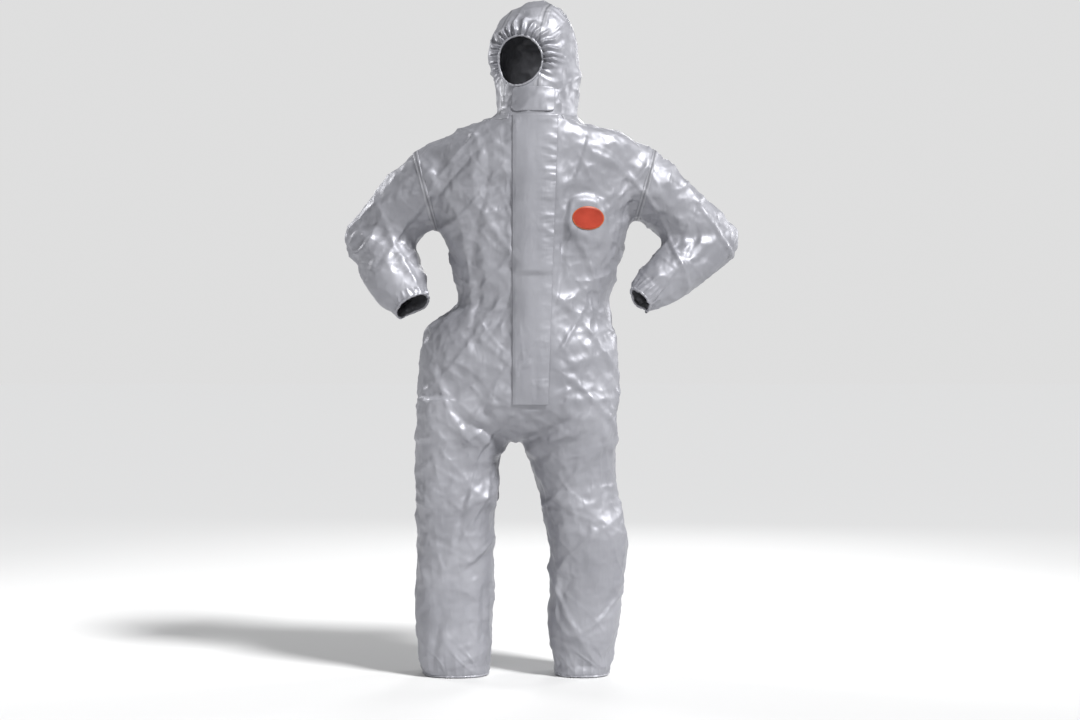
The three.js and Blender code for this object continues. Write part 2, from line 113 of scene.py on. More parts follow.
# Start, elbow, wrist and armhole, then the share of each bone with its half-widths.
ARMS = {
    "right": dict(
        start=at(-252, 0, 1302), elbow=at(-422, 60, 1140), wrist=at(-318, -45, 958),
        armhole=at(-290, 0, 1276),
        upper=((0, 100, 96), (0.5, 97, 90), (1, 95, 84)),
        fore=((0, 93, 84), (0.45, 86, 78), (0.75, 76, 70), (0.9, 60, 58), (1.03, 49, 47)),
    ),
    "left": dict(
        start=at(252, 0, 1302), elbow=at(456, 50, 1137), wrist=at(266, -62, 968),
        armhole=at(287, 0, 1276),
        upper=((0, 97, 94), (0.5, 90, 86), (1, 86, 80)),
        fore=((0, 84, 80), (0.45, 80, 74), (0.75, 72, 66), (0.9, 58, 54), (1.03, 45, 43)),
    ),
}
FACE = dict(x=0, z=1583, width=122, height=131, yaw=math.radians(-20))
ZIP_BOTTOM, NECK_SEAM, WAIST, CROTCH_X, CROTCH_Z, HIP_SIDE = 700, 1446, 1020, -52, 590, 745
GROIN_REACH = {"right": -316, "left": 228}
BADGE = (134, 1179)
BADGE_HALF = (41, 30)


class CoverallSizes(PropertyGroup):
    """Sizes and colours that a user may change."""

    mesh_size: FloatProperty(
        name="Cloth mesh", description="Edge length of the cloth", default=0.0092, unit="LENGTH"
    )
    body_gap: FloatProperty(
        name="Ease", description="Space between wearer and fabric", default=0.016, unit="LENGTH"
    )
    fullness: FloatProperty(
        name="Fullness", description="Extra fabric as a share of its length", default=0.095
    )
    frames: IntProperty(name="Frames", description="Steps of the cloth solver", default=24)
    thickness: FloatProperty(
        name="Fabric", description="Thickness of the laminate", default=0.0009, unit="LENGTH"
    )
    fabric: FloatVectorProperty(
        name="Fabric", description="Laminate colour", subtype="COLOR", default=(0.37, 0.372, 0.405)
    )
    fabric_dark: FloatVectorProperty(
        name="Fabric, dull", description="Laminate colour where it is dull", subtype="COLOR",
        default=(0.28, 0.282, 0.31),
    )
    tape: FloatVectorProperty(
        name="Seam tape", description="Sealed seam tape colour", subtype="COLOR",
        default=(0.36, 0.362, 0.39),
    )
    badge: FloatVectorProperty(
        name="Badge", description="Chest patch colour", subtype="COLOR", default=(0.40, 0.035, 0.012)
    )


# ---- Small helpers ----


def squared(value):
    return math.copysign(abs(value) ** (2 / SQUARENESS), value)


def new_object(name, bm):
    mesh = bpy.data.meshes.new(name)
    bm.to_mesh(mesh)
    bm.free()
    obj = bpy.data.objects.new(name, mesh)
    bpy.context.scene.collection.objects.link(obj)
    return obj


def smooth_step(low, high, value):
    t = min(max((value - low) / (high - low), 0.0), 1.0)
    return t * t * (3 - 2 * t)


def evaluated(obj):
    """The object's mesh with its modifiers applied, as a new mesh."""
    depsgraph = bpy.context.evaluated_depsgraph_get()
    return bpy.data.meshes.new_from_object(obj.evaluated_get(depsgraph), depsgraph=depsgraph)


def loft(bm, rings):
    """Bridges a list of rings, each a function from a unit circle's point to a place."""
    previous, ends = None, []
    for place in rings:
        made = bmesh.ops.create_circle(bm, segments=48, radius=1.0)["verts"]
        for vert in made:
            vert.co = place(vert.co.x, vert.co.y)
        edges = list({e for v in made for e in v.link_edges})
        if previous is not None:
            bmesh.ops.bridge_loops(bm, edges=previous + edges)
        previous = edges
        ends.append(edges)
    for edges in (ends[0], ends[-1]):
        bmesh.ops.edgeloop_fill(bm, edges=edges)


def trunk_ring(level, grow):
    z, right, left, front, back = level

    def place(x, y):
        across, along = squared(x), squared(y)
        return at(
            across * ((right if across < 0 else left) + grow),
            along * ((front if along < 0 else back) + grow),
            z,
        )

    return place


def leg_ring(level, grow):
    z, inner, outer, front, back = level
    middle, half = (inner + outer) / 2, abs(outer - inner) / 2 + grow

    def place(x, y):
        along = squared(y)
        return at(middle + half * squared(x), along * ((front if along < 0 else back) + grow), z)

    return place


def bone_ring(start, end, row, grow):
    along = (end - start).normalized()
    centre = start.lerp(end, row[0])
    side = (Vector((0, 1, 0)) - along * along.y).normalized()
    out = side.cross(along)

    def place(x, y):
        return centre + (out * (row[1] + grow) * x + side * (row[2] + grow) * y) * MM

    return place


def between(rows, steps=3):
    """More rows between the given ones, on a smooth curve through them."""
    data = np.array(rows, float)
    tangent = np.gradient(data, axis=0)
    result = []
    for i in range(len(data) - 1):
        for k in range(steps):
            t = k / steps
            h1, h2 = 2 * t**3 - 3 * t**2 + 1, t**3 - 2 * t**2 + t
            h3, h4 = -2 * t**3 + 3 * t**2, t**3 - t**2
            point = h1 * data[i] + h2 * tangent[i] + h3 * data[i + 1] + h4 * tangent[i + 1]
            point[0] = data[i][0] + t * (data[i + 1][0] - data[i][0])
            result.append(point)
    return result + [data[-1]]


def body_solid(name, grow, voxel):
    """The closed outer form of the suit, moved outwards by grow millimetres, as one skin."""
    bm = bmesh.new()
    loft(bm, [trunk_ring(row, grow) for row in between(TRUNK)])
    for side, _sign in SIDES:
        loft(bm, [leg_ring(row, grow) for row in between(LEGS[side])])
        arm = ARMS[side]
        for start, end, rows in (
            (arm["start"], arm["elbow"], arm["upper"]),
            (arm["elbow"], arm["wrist"], arm["fore"]),
        ):
            loft(bm, [bone_ring(start, end, row, grow) for row in rows])
        for centre, radius in ((arm["start"], arm["upper"][0][1]), (arm["elbow"], arm["fore"][0][1])):
            place = Matrix.Translation(centre) @ Matrix.Diagonal((1, 0.93, 1, 1))
            bmesh.ops.create_uvsphere(
                bm, u_segments=40, v_segments=20, radius=(radius + grow) * MM, matrix=place
            )
    bmesh.ops.recalc_face_normals(bm, faces=bm.faces)
    obj = new_object(name, bm)
    merge = obj.modifiers.new("merge", "REMESH")
    merge.mode = "VOXEL"
    merge.voxel_size = voxel
    smooth = obj.modifiers.new("smooth", "SMOOTH")
    smooth.iterations = 6
    smooth.factor = 0.5
    mesh = evaluated(obj)
    obj.modifiers.clear()
    obj.data = mesh
    return obj


def face_axes():
    ahead = Vector((math.sin(FACE["yaw"]), -math.cos(FACE["yaw"]), 0))
    across = Vector((math.cos(FACE["yaw"]), math.sin(FACE["yaw"]), 0))
    return ahead, across


def face_distance(point):
    """How far outside the face opening a point on the hood lies, as a share of its size."""
    ahead, across = face_axes()
    local = point - at(FACE["x"], 0, FACE["z"])
    if local.dot(ahead) < 0.03:
        return 9.0
    u = local.dot(across) / (FACE["width"] * MM / 2)
    v = local.z / (FACE["height"] * MM / 2)
    return math.hypot(u, v)


def past_wrist(point, side):
    """How far along the forearm past the wrist a point of the cuff lies, or -1 off the cuff."""
    arm = ARMS[side]
    axis = (arm["wrist"] - arm["elbow"]).normalized()
    local = point - arm["wrist"]
    past = local.dot(axis)
    on_cuff = -0.12 < past < 0.03 and (local - axis * past).length < 0.053 + 0.14 * max(-past, 0)
    return past if on_cuff else -1.0


def open_up(obj):
    """Cuts the face, wrists, ankles and zip open."""
    bm = bmesh.new()
    bm.from_mesh(obj.data)
    doomed = []
    for face in bm.faces:
        p = face.calc_center_median()
        height = (p.z - HEM_HEIGHT) / MM
        slit = abs(p.x) < 7 * MM and p.y < -0.1 and ZIP_BOTTOM + 12 < height < NECK_SEAM
        wrist = max(past_wrist(p, side) for side, _sign in SIDES) > 0
        if height < 0 or face_distance(p) < 1 or wrist or slit:
            doomed.append(face)
    bmesh.ops.delete(bm, geom=doomed, context="FACES")
    loose = [v for v in bm.verts if not v.link_faces]
    bmesh.ops.delete(bm, geom=loose, context="VERTS")
    keep_largest(bm)
    even_edges(bm)
    bm.to_mesh(obj.data)
    bm.free()


def keep_largest(bm):
    bm.verts.ensure_lookup_table()
    seen, groups = set(), []
    for vert in bm.verts:
        if vert in seen:
            continue
        group, queue = [], [vert]
        seen.add(vert)
        while queue:
            v = queue.pop()
            group.append(v)
            for e in v.link_edges:
                o = e.other_vert(v)
                if o not in seen:
                    seen.add(o)
                    queue.append(o)
        groups.append(group)
    groups.sort(key=len)
    spare = [v for group in groups[:-1] for v in group]
    bmesh.ops.delete(bm, geom=spare, context="VERTS")


def snap_edge(point):
    """Where a point on a cut edge belongs, on the exact line of its opening."""
    height = (point.z - HEM_HEIGHT) / MM
    if height < 10:
        return Vector((point.x, point.y, HEM_HEIGHT))
    if 0.8 < face_distance(point) < 1.25:
        ahead, across = face_axes()
        centre = at(FACE["x"], 0, FACE["z"])
        local = point - centre
        scale = 1 / face_distance(point)
        flat = across * local.dot(across) * scale + Vector((0, 0, local.z * scale))
        return centre + flat + ahead * local.dot(ahead)
    for side, _sign in SIDES:
        past = past_wrist(point, side)
        if past > -0.012:
            axis = (ARMS[side]["wrist"] - ARMS[side]["elbow"]).normalized()
            return point - axis * past
    if abs(point.x) < 0.02 and point.y < -0.1:
        return Vector((math.copysign(7 * MM, point.x), point.y, point.z))
    return point


def even_edges(bm):
    """Puts the edges of the openings on clean lines."""
    for vert in bm.verts:
        if vert.is_boundary:
            vert.co = snap_edge(vert.co.copy())
    for _ in range(3):
        edge = [v for v in bm.verts if v.is_boundary]
        ring = {v for e in edge for v in (o.other_vert(e) for o in e.link_edges)} - set(edge)
        bmesh.ops.smooth_vert(bm, verts=list(ring), factor=0.5, use_axis_x=True, use_axis_y=True,
                              use_axis_z=True)


def badge_distance(point):
    """How far in millimetres a point of the chest lies from the middle of the patch."""
    return math.hypot(point.x / MM - BADGE[0], (point.z - HEM_HEIGHT) / MM - BADGE[1])


def pin_weight(point):
    """How firmly a point of the fabric keeps its place in the cloth solver."""
    height = (point.z - HEM_HEIGHT) / MM
    weight = max(1 - smooth_step(4, 30, height), 0.14 + 0.4 * (1 - smooth_step(120, 420, height)))
    if height > 1480:
        weight = max(weight, 1 - smooth_step(1.06, 1.5, face_distance(point)))
    for side, _sign in SIDES:
        past = past_wrist(point, side)
        if past > -0.06:
            weight = max(weight, smooth_step(-0.03, -0.006, past))
    if point.y < -0.1 and ZIP_BOTTOM - 30 < height < NECK_SEAM + 60:
        weight = max(weight, 1 - smooth_step(30, 70, abs(point.x / MM)))
    if abs(height - WAIST + 18) < 14:
        weight = max(weight, 0.4)
    if point.y < 0:
        weight = max(weight, 0.4 * (1 - smooth_step(25, 60, badge_distance(point))))
    crotch = (point - at(CROTCH_X, point.y / MM, CROTCH_Z)).length
    weight = max(weight, 0.8 * (1 - smooth_step(0.03, 0.11, crotch)))
    if abs(height - NECK_SEAM) < 10:
        weight = max(weight, 0.8)
    return weight


def simulate(cloth, wearer, sizes):
    """Lets the loose fabric fall and crumple over the wearer's form."""
    group = cloth.vertex_groups.new(name="pin")
    for vert in cloth.data.vertices:
        weight = pin_weight(vert.co)
        if weight > 0.01:
            group.add([vert.index], weight, "REPLACE")
    wearer.modifiers.new("collide", "COLLISION")
    wearer.collision.thickness_outer = 0.004
    wearer.collision.cloth_friction = 8
    modifier = cloth.modifiers.new("cloth", "CLOTH")
    settings = modifier.settings
    settings.quality = 4
    settings.mass = 0.2
    settings.effector_weights.gravity = 0.55
    settings.air_damping = 2
    settings.tension_stiffness = 25
    settings.compression_stiffness = 25
    settings.shear_stiffness = 12
    settings.bending_stiffness = 0.8
    settings.tension_damping = 8
    settings.compression_damping = 8
    settings.shrink_min = -sizes.fullness
    settings.vertex_group_mass = "pin"
    settings.pin_stiffness = 50
    modifier.collision_settings.distance_min = 0.003
    modifier.collision_settings.use_self_collision = False
    modifier.point_cache.frame_end = sizes.frames
    scene = bpy.context.scene
    scene.frame_start = 1
    scene.frame_end = sizes.frames
    for step in range(1, sizes.frames + 1):
        scene.frame_set(step)
    mesh = evaluated(cloth)
    scene.frame_set(1)
    cloth.modifiers.clear()
    cloth.data = mesh
    cloth.vertex_groups.clear()
    bm = bmesh.new()
    bm.from_mesh(cloth.data)
    inside = [v for v in bm.verts if not v.is_boundary]
    for _ in range(2):
        bmesh.ops.smooth_vert(bm, verts=inside, factor=0.5, use_axis_x=True, use_axis_y=True,
                              use_axis_z=True)
    for vert in bm.verts:
        if vert.is_boundary:
            vert.co = snap_edge(vert.co.copy())
    bm.to_mesh(cloth.data)
    bm.free()
    bpy.data.objects.remove(wearer)


# ---- Finished cloth ----


def armhole_normal(side):
    """The direction square to an armhole, away from the trunk."""
    return Vector((0.966 * dict(SIDES)[side], 0, -0.259))


def arm_place(point, side):
    """Where a point lies on an arm: how far along the upper bone, and how much further from that
    bone than from the forearm's, or None off the arm."""
    arm = ARMS[side]
    up = (arm["elbow"] - arm["start"]).normalized()
    fore = (arm["wrist"] - arm["elbow"]).normalized()
    on_upper, on_fore = (point - arm["start"]).dot(up), (point - arm["elbow"]).dot(fore)
    length = (arm["wrist"] - arm["elbow"]).length
    near_upper = (point - arm["start"] - up * min(on_upper, 0.24)).length
    reach = min(max(on_fore, 0.0), length)
    near_fore = (point - arm["elbow"] - fore * reach).length
    limit = 0.145 - 0.075 * smooth_step(0.6, 1, reach / length)
    beyond = (point - arm["armhole"]).dot(armhole_normal(side))
    if beyond < 0 or (near_upper > 0.135 and near_fore > limit):
        return None
    return on_upper, near_upper - near_fore


def groin_frame(side):
    """A point on the groin line of a leg, and the direction square to it, down the leg."""
    start = at(CROTCH_X, 0, CROTCH_Z)
    line = at(GROIN_REACH[side], 0, HIP_SIDE) - start
    normal = Vector((0, 1, 0)).cross(line).normalized()
    return start, normal if normal.z < 0 else -normal


HEAD_LENGTH = 0.16  # of a sleeve head along the upper bone
MID_THIGH = 470


def panel_of(point):
    """The name of the panel that a point of the skin belongs to."""
    height = (point.z - HEM_HEIGHT) / MM
    if height > NECK_SEAM - 9:
        _ahead, across = face_axes()
        u = point.dot(across)
        return "hood_right" if u < -0.052 else "hood_left" if u > 0.052 else "hood_centre"
    if height > 880:
        for side, _sign in SIDES:
            place = arm_place(point, side)
            if place:
                on_head = place[0] < HEAD_LENGTH and place[1] < 0.02
                return ("sleeve_head_" if on_head else "sleeve_") + side
    for side, sign in SIDES:
        start, normal = groin_frame(side)
        if (point - start).dot(normal) > 0 and (point.x - start.x) * sign > 0:
            return ("leg_upper_" if height > MID_THIGH else "leg_lower_") + side
    if height < WAIST - 18:
        if point.y < 0:
            return "hip_front_right" if point.x < 0 else "hip_front_left"
        return "seat_right" if point.x < CROTCH_X * MM else "seat_left"
    if point.y > 0:
        return "back_panel"
    return "chest_right" if point.x < 0 else "chest_left"


def gather(angle, count, wander):
    """A row of narrow uneven pleats, from -0.5 to 1, at an angle round an opening."""
    phase = angle * count / 2 + wander
    return 1 - 1.5 * abs(math.sin(phase)) ** 0.8 + 0.25 * math.sin(phase * 0.37 + 1)


def pleats(point):
    """Gathers by the elastics: how far the fabric stands out at a point, in metres."""
    height = (point.z - HEM_HEIGHT) / MM
    value = 0.0
    away = face_distance(point) if height > NECK_SEAM else 9.0
    if away < 2.4:
        local = point - at(FACE["x"], 0, FACE["z"])
        angle = math.atan2(local.z, local.dot(face_axes()[1]))
        wander = noise.noise(Vector((math.cos(angle), math.sin(angle), away * 0.7)) * 2.2) * 1.9
        reach = 2.0 + 1.1 * noise.noise(Vector((math.cos(angle), math.sin(angle), 7)) * 2.5)
        top = smooth_step(-0.75, -0.1, math.sin(angle))
        fade = smooth_step(0.97, 1.06, away) * (1 - smooth_step(1.1, max(reach, 1.3), away))
        value += 8.6 * gather(angle, 30, wander) * top * fade
        value += 8.0 * top * smooth_step(1.02, 1.2, away) * (1 - smooth_step(1.25, 1.9, away))
    if height < 75:
        side = "right" if point.x < CROTCH_X * MM else "left"
        row = LEGS[side][-1]
        angle = math.atan2(point.y, point.x - (row[1] + row[2]) / 2 * MM)
        wander = noise.noise(point * 9)
        value += 1.0 * gather(angle, 24, wander) * smooth_step(0, 8, height) * (
            1 - smooth_step(18, 70, height)
        )
    for side, _sign in SIDES:
        past = past_wrist(point, side)
        if past > -0.085:
            arm = ARMS[side]
            fore = (arm["wrist"] - arm["elbow"]).normalized()
            angle = math.atan2((point - arm["wrist"]).y, (point - arm["wrist"]).cross(fore).y)
            wander = noise.noise(point * 11)
            value += 2.0 * gather(angle, 18, wander) * smooth_step(-0.085, -0.02, past) * (
                1 - smooth_step(-0.008, 0, past)
            )
    return value * MM


def facets(point, cells):
    """Crumpled film at a point: flat facets between random corners, from -1 to 1."""
    place = (point + noise.noise_vector(point * cells * 0.45) * (0.9 / cells)) * cells
    corner = Vector([math.floor(c) for c in place])
    parts = place - corner
    order = sorted(range(3), key=lambda k: -parts[k])
    value, last, here = 0.0, 1.0, corner.copy()
    for axis in order:
        value += (last - parts[axis]) * noise.cell(here)
        last = parts[axis]
        here[axis] += 1
    return 2 * (value + last * noise.cell(here)) - 1


def sharp_folds(place, scale, width):
    """Long narrow ridges that wander over the fabric, from 0 to 1."""
    return max(0.0, 1 - abs(noise.noise(place * scale)) / (scale * width))


def along_folds(point, lean):
    """A point in a space squeezed along one slant, so that what is made there runs that way."""
    side, up = math.cos(lean), math.sin(lean)
    return Vector((
        side * point.x + up * point.z, 0.6 * point.y, 0.3 * (side * point.z - up * point.x)
    ))


def groin_folds(point):
    """The deep folds that run from the crotch along both groins, in millimetres."""
    value = 0.0
    for side, sign in SIDES:
        start, normal = groin_frame(side)
        off = (point - start).dot(normal) / MM
        along = abs(point.x - start.x) / MM
        if (point.x - start.x) * sign > 0 and abs(off) < 110:
            bend = off + 9 * noise.noise(Vector((along * 0.02, sign * 3.0, 0.0)))
            reach = 1 - smooth_step(60, 230, along)
            value += reach * (
                -6 * math.exp(-((bend / 9) ** 2)) + 4 * math.exp(-(((bend + 24) / 13) ** 2))
                + 4 * math.exp(-(((bend - 26) / 12) ** 2)) - 3 * math.exp(-(((bend - 52) / 10) ** 2))
            )
    return value


def crumple(point):
    """The relief of crumpled laminate at a point, in metres."""
    height = (point.z - HEM_HEIGHT) / MM
    lean = Vector((point.x + 0.35 * point.z, point.y, point.z * 1.5 - 0.3 * point.x))
    slant = Vector((point.x - 0.5 * point.z, point.y, point.z * 1.2 + 0.2 * point.x))
    value = (
        5.0 * facets(lean, 6.0) + 1.5 * facets(slant + Vector((3.3, 1.7, 2.1)), 17.0)
        + 0.6 * facets(lean + Vector((5.1, 8.2, 4.4)), 41.0)
        + 4.6 * sharp_folds(along_folds(point, 0.6), 7.0, 0.016)
        + 3.6 * sharp_folds(along_folds(point, -0.75), 9.0, 0.012)
        - 3.6 * sharp_folds(along_folds(point, -0.45) + Vector((9, 9, 9)), 8.0, 0.014)
        + 1.4 * sharp_folds(along_folds(point, 0.9) + Vector((4, 7, 1)), 22.0, 0.006)
    )
    calm = 1 - 0.35 * smooth_step(NECK_SEAM - 6, NECK_SEAM + 30, height)
    if height > NECK_SEAM:
        calm *= 0.3 + 0.7 * smooth_step(1.3, 2.2, face_distance(point))
    if point.y < -0.1 and ZIP_BOTTOM - 10 < height < NECK_SEAM + 60:
        calm *= 0.05 + 0.95 * smooth_step(20, 85, abs(point.x / MM))
    if point.y < 0:
        calm *= 0.15 + 0.85 * smooth_step(42, 70, badge_distance(point))
    value = value * calm + (groin_folds(point) if point.y < 0.02 and height < 800 else 0)
    return value * smooth_step(2, 25, height) * MM


def seam_distance(point):
    """How far a point is to one side or the other of the nearest sealed seam."""
    height = (point.z - HEM_HEIGHT) / MM
    if height > NECK_SEAM:
        across = point.dot(face_axes()[1])
        return min(across - 0.052, across + 0.052, key=abs) if face_distance(point) > 1.1 else 1.0
    if height > 880 and any(arm_place(point, side) for side, _sign in SIDES):
        return 1.0
    nearest = point.y - 0.004
    if point.y > 0 and height > CROTCH_Z:
        nearest = min(nearest, point.x, key=abs)
    return nearest


def finish_cloth(obj):
    """Refines the fallen cloth, adds its crumples and pleats, and measures its seams."""
    refine = obj.modifiers.new("refine", "SUBSURF")
    refine.levels = refine.render_levels = 1
    mesh = evaluated(obj)
    obj.modifiers.clear()
    obj.data = mesh
    bm = bmesh.new()
    bm.from_mesh(mesh)
    near = {
        e for v in bm.verts
        if face_distance(v.co) < 2.0 or v.co.z < HEM_HEIGHT + 0.06
        or max(past_wrist(v.co, side) for side, _sign in SIDES) > -0.075
        for e in v.link_edges
    }
    bmesh.ops.subdivide_edges(bm, edges=list(near), cuts=1, use_grid_fill=True, smooth=0.5)
    bm.to_mesh(mesh)
    bm.free()
    seams = []
    normals = [v.normal.copy() for v in mesh.vertices]
    places = [v.co.copy() for v in mesh.vertices]
    for vert, normal, place in zip(mesh.vertices, normals, places):
        vert.co = place + normal * (crumple(place) + pleats(place))
        seams.append(seam_distance(place))
    attribute = mesh.attributes.new("seam", "FLOAT", "POINT")
    attribute.data.foreach_set("value", seams)
    mesh.update()
    return obj


class Skin:
    """The finished cloth as arrays, from which the panels are cut."""

    def __init__(self, obj):
        mesh = obj.data
        self.points = [v.co.copy() for v in mesh.vertices]
        self.normals = [v.normal.copy() for v in mesh.vertices]
        self.seams = [d.value for d in mesh.attributes["seam"].data]
        self.faces = [tuple(p.vertices) for p in mesh.polygons]
        self.panels = {}
        for index, face in enumerate(self.faces):
            middle = sum((self.points[v] for v in face), Vector()) / len(face)
            self.panels.setdefault(panel_of(middle), []).append(index)
        self.owners = {}
        for name, members in self.panels.items():
            for index in members:
                for v in self.faces[index]:
                    self.owners.setdefault(v, set()).add(name)
        self.tree = BVHTree.FromPolygons(self.points, self.faces)

    def shared(self, name, others):
        """The points on the border between one panel and some others."""
        return [
            self.points[v] for v, owners in self.owners.items()
            if name in owners and owners & set(others)
        ]


def cut_panel(skin, name, thickness):
    """One panel as a solid laminate, shaded across its edges as the whole skin is."""
    members = skin.panels[name]
    used = sorted({v for index in members for v in skin.faces[index]})
    bm = bmesh.new()
    seam = bm.verts.layers.float.new("seam")
    outer, inner = {}, {}
    for v in used:
        outer[v] = bm.verts.new(skin.points[v])
        outer[v][seam] = skin.seams[v]
    for v in used:
        inner[v] = bm.verts.new(skin.points[v] - skin.normals[v] * thickness)
        inner[v][seam] = 1.0
    sides = {}
    for index in members:
        face = skin.faces[index]
        bm.faces.new([outer[v] for v in face])
        bm.faces.new([inner[v] for v in reversed(face)])
        for a, b in zip(face, face[1:] + face[:1]):
            sides[(a, b)] = sides.get((a, b), 0) + 1
    for a, b in sides:
        if (b, a) not in sides:
            bm.faces.new([outer[b], outer[a], inner[a], inner[b]])
    for face in bm.faces:
        face.smooth = True
    piece = new_object(name, bm)
    custom = [skin.normals[v] for v in used] + [-skin.normals[v] for v in used]
    piece.data.normals_split_custom_set_from_vertices(custom)
    return piece


def blend_between(piece, along, first, last):
    """Finds where a piece's borders with its neighbours lie along a direction, then bakes the piece's
    place into its mesh.
    """
    along = along.normalized()
    low = max(p.dot(along) for p in first)
    high = min(p.dot(along) for p in last)
    if high < low + 0.02:
        middle = (low + high) / 2
        low, high = middle - 0.01, middle + 0.01
    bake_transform(piece)


# ---- Strips, patches and bindings ----


def seam_line(skin_object, point, normal, keep):
    """The line in which a plane meets the skin, as lists of neighbouring points."""
    bm = bmesh.new()
    bm.from_mesh(skin_object.data)
    cut = bmesh.ops.bisect_plane(
        bm, geom=bm.verts[:] + bm.edges[:] + bm.faces[:], plane_co=point, plane_no=normal,
        dist=1e-6,
    )["geom_cut"]
    edges = [e for e in cut if isinstance(e, bmesh.types.BMEdge)
             and all(keep(v.co) for v in e.verts)]
    near = {}
    for e in edges:
        for v in e.verts:
            near.setdefault(v, []).append(e.other_vert(v))
    lines, seen = [], set()
    starts = [v for v in near if len(near[v]) == 1] + list(near)
    for start in starts:
        if start in seen:
            continue
        line, here = [start], start
        seen.add(start)
        while True:
            following = [v for v in near[here] if v not in seen]
            if not following:
                break
            here = following[0]
            seen.add(here)
            line.append(here)
        closed = len(line) > 8 and start in near[line[-1]]
        lines.append(([v.co.copy() for v in line], closed))
    bm.free()
    return max(lines, key=lambda item: len(item[0]))


def spaced(line, closed, step, calm=4):
    """The line with even steps, and smoothed a little."""
    points = line + [line[0]] if closed else line
    reach = [0.0]
    for a, b in zip(points, points[1:]):
        reach.append(reach[-1] + (b - a).length)
    count = max(int(reach[-1] / step), 4)
    marks = np.linspace(0, reach[-1], count + 1)
    table = np.array([tuple(p) for p in points])
    even = np.stack([np.interp(marks, reach, table[:, k]) for k in range(3)], axis=1)
    for _ in range(calm):
        if closed:
            even = even[:-1]
            even = (even * 2 + np.roll(even, 1, 0) + np.roll(even, -1, 0)) / 4
            even = np.concatenate([even, even[:1]])
        else:
            even[1:-1] = (even[1:-1] * 2 + even[:-2] + even[2:]) / 4
    return [Vector(p) for p in (even[:-1] if closed else even)]


def grid_piece(name, rows, closed, thickness, bevel=0.0):
    """A thin solid from rows of points of equal length, the last joined to the first if closed."""
    bm = bmesh.new()
    verts = [[bm.verts.new(p) for p in row] for row in rows]
    pairs = list(zip(verts, verts[1:] + verts[:1])) if closed else list(zip(verts, verts[1:]))
    for one, other in pairs:
        for k in range(len(one) - 1):
            bm.faces.new([one[k], one[k + 1], other[k + 1], other[k]])
    for face in bm.faces:
        face.smooth = True
    piece = new_object(name, bm)
    thick = piece.modifiers.new("thickness", "SOLIDIFY")
    thick.thickness = thickness
    thick.offset = 1.0
    if bevel:
        round_off = piece.modifiers.new("edges", "BEVEL")
        round_off.width = bevel
        round_off.segments = 2
        round_off.limit_method = "ANGLE"
        round_off.angle_limit = math.radians(50)
    piece.data = evaluated(piece)
    piece.modifiers.clear()
    mark_seam(piece, lambda place: 1.0)
    return piece


def mark_seam(piece, distance):
    """Stores how far each point lies from a seam, which the laminate's material reads."""
    values = [distance(v.co) for v in piece.data.vertices]
    stored = piece.data.attributes.get("seam") or piece.data.attributes.new("seam", "FLOAT", "POINT")
    stored.data.foreach_set("value", values)


def strip(name, skin, line, closed, across, width, lift, thickness):
    """A tape that follows a line over the skin, its width lying in the direction across."""
    across = across.normalized()
    rows = []
    for point in line:
        row = []
        for k in range(7):
            spot = point + across * width * (k / 6 - 0.5)
            found, normal, _index, _distance = skin.tree.find_nearest(spot)
            blend = found.lerp(spot, 0.15)
            row.append(blend + normal * lift)
        rows.append(row)
    first = rows[0]
    probe = (first[1] - first[0]).cross(rows[1][0] - first[0])
    outward = skin.tree.find_nearest(first[0])[1]
    if probe.dot(outward) < 0:
        rows = [row[::-1] for row in rows]
    return grid_piece(name, rows, closed, thickness)


def binding(name, line, radius):
    """A rounded edge binding that follows a closed line."""
    bm = bmesh.new()
    previous, first = None, None
    count = len(line)
    centre = sum(line, Vector()) / count
    for i, point in enumerate(line):
        along = (line[(i + 1) % count] - line[i - 1]).normalized()
        outward = (point - centre)
        outward = (outward - along * outward.dot(along)).normalized()
        turn = Matrix((outward, along.cross(outward), along)).transposed().to_4x4()
        size = radius * (1 + 0.55 * noise.noise(point * 160))
        made = bmesh.ops.create_circle(
            bm, segments=8, radius=size, matrix=Matrix.Translation(point) @ turn
        )["verts"]
        edges = list({e for v in made for e in v.link_edges})
        if previous is not None:
            bmesh.ops.bridge_loops(bm, edges=previous + edges)
        else:
            first = edges
        previous = edges
    bmesh.ops.bridge_loops(bm, edges=previous + first)
    bmesh.ops.recalc_face_normals(bm, faces=bm.faces)
    for face in bm.faces:
        face.smooth = True
    return new_object(name, bm)


def border_loops(skin_object):
    """The closed lines round the openings of the skin."""
    bm = bmesh.new()
    bm.from_mesh(skin_object.data)
    near = {}
    for e in bm.edges:
        if e.is_boundary:
            for v in e.verts:
                near.setdefault(v, []).append(e.other_vert(v))
    loops, seen = [], set()
    for start in near:
        if start in seen:
            continue
        line, here = [start], start
        seen.add(start)
        while True:
            following = [v for v in near[here] if v not in seen]
            if not following:
                break
            here = following[0]
            seen.add(here)
            line.append(here)
        loops.append([v.co.copy() for v in line])
    bm.free()
    return loops


def front_depth(skin, x, height):
    """The y of the front of the fabric at a place, or of the placket where it is open."""
    hit = skin.tree.ray_cast(at(x, -500, height), Vector((0, 1, 0)))[0]
    return hit.y if hit and hit.y < -0.06 else FRONT_PLANE


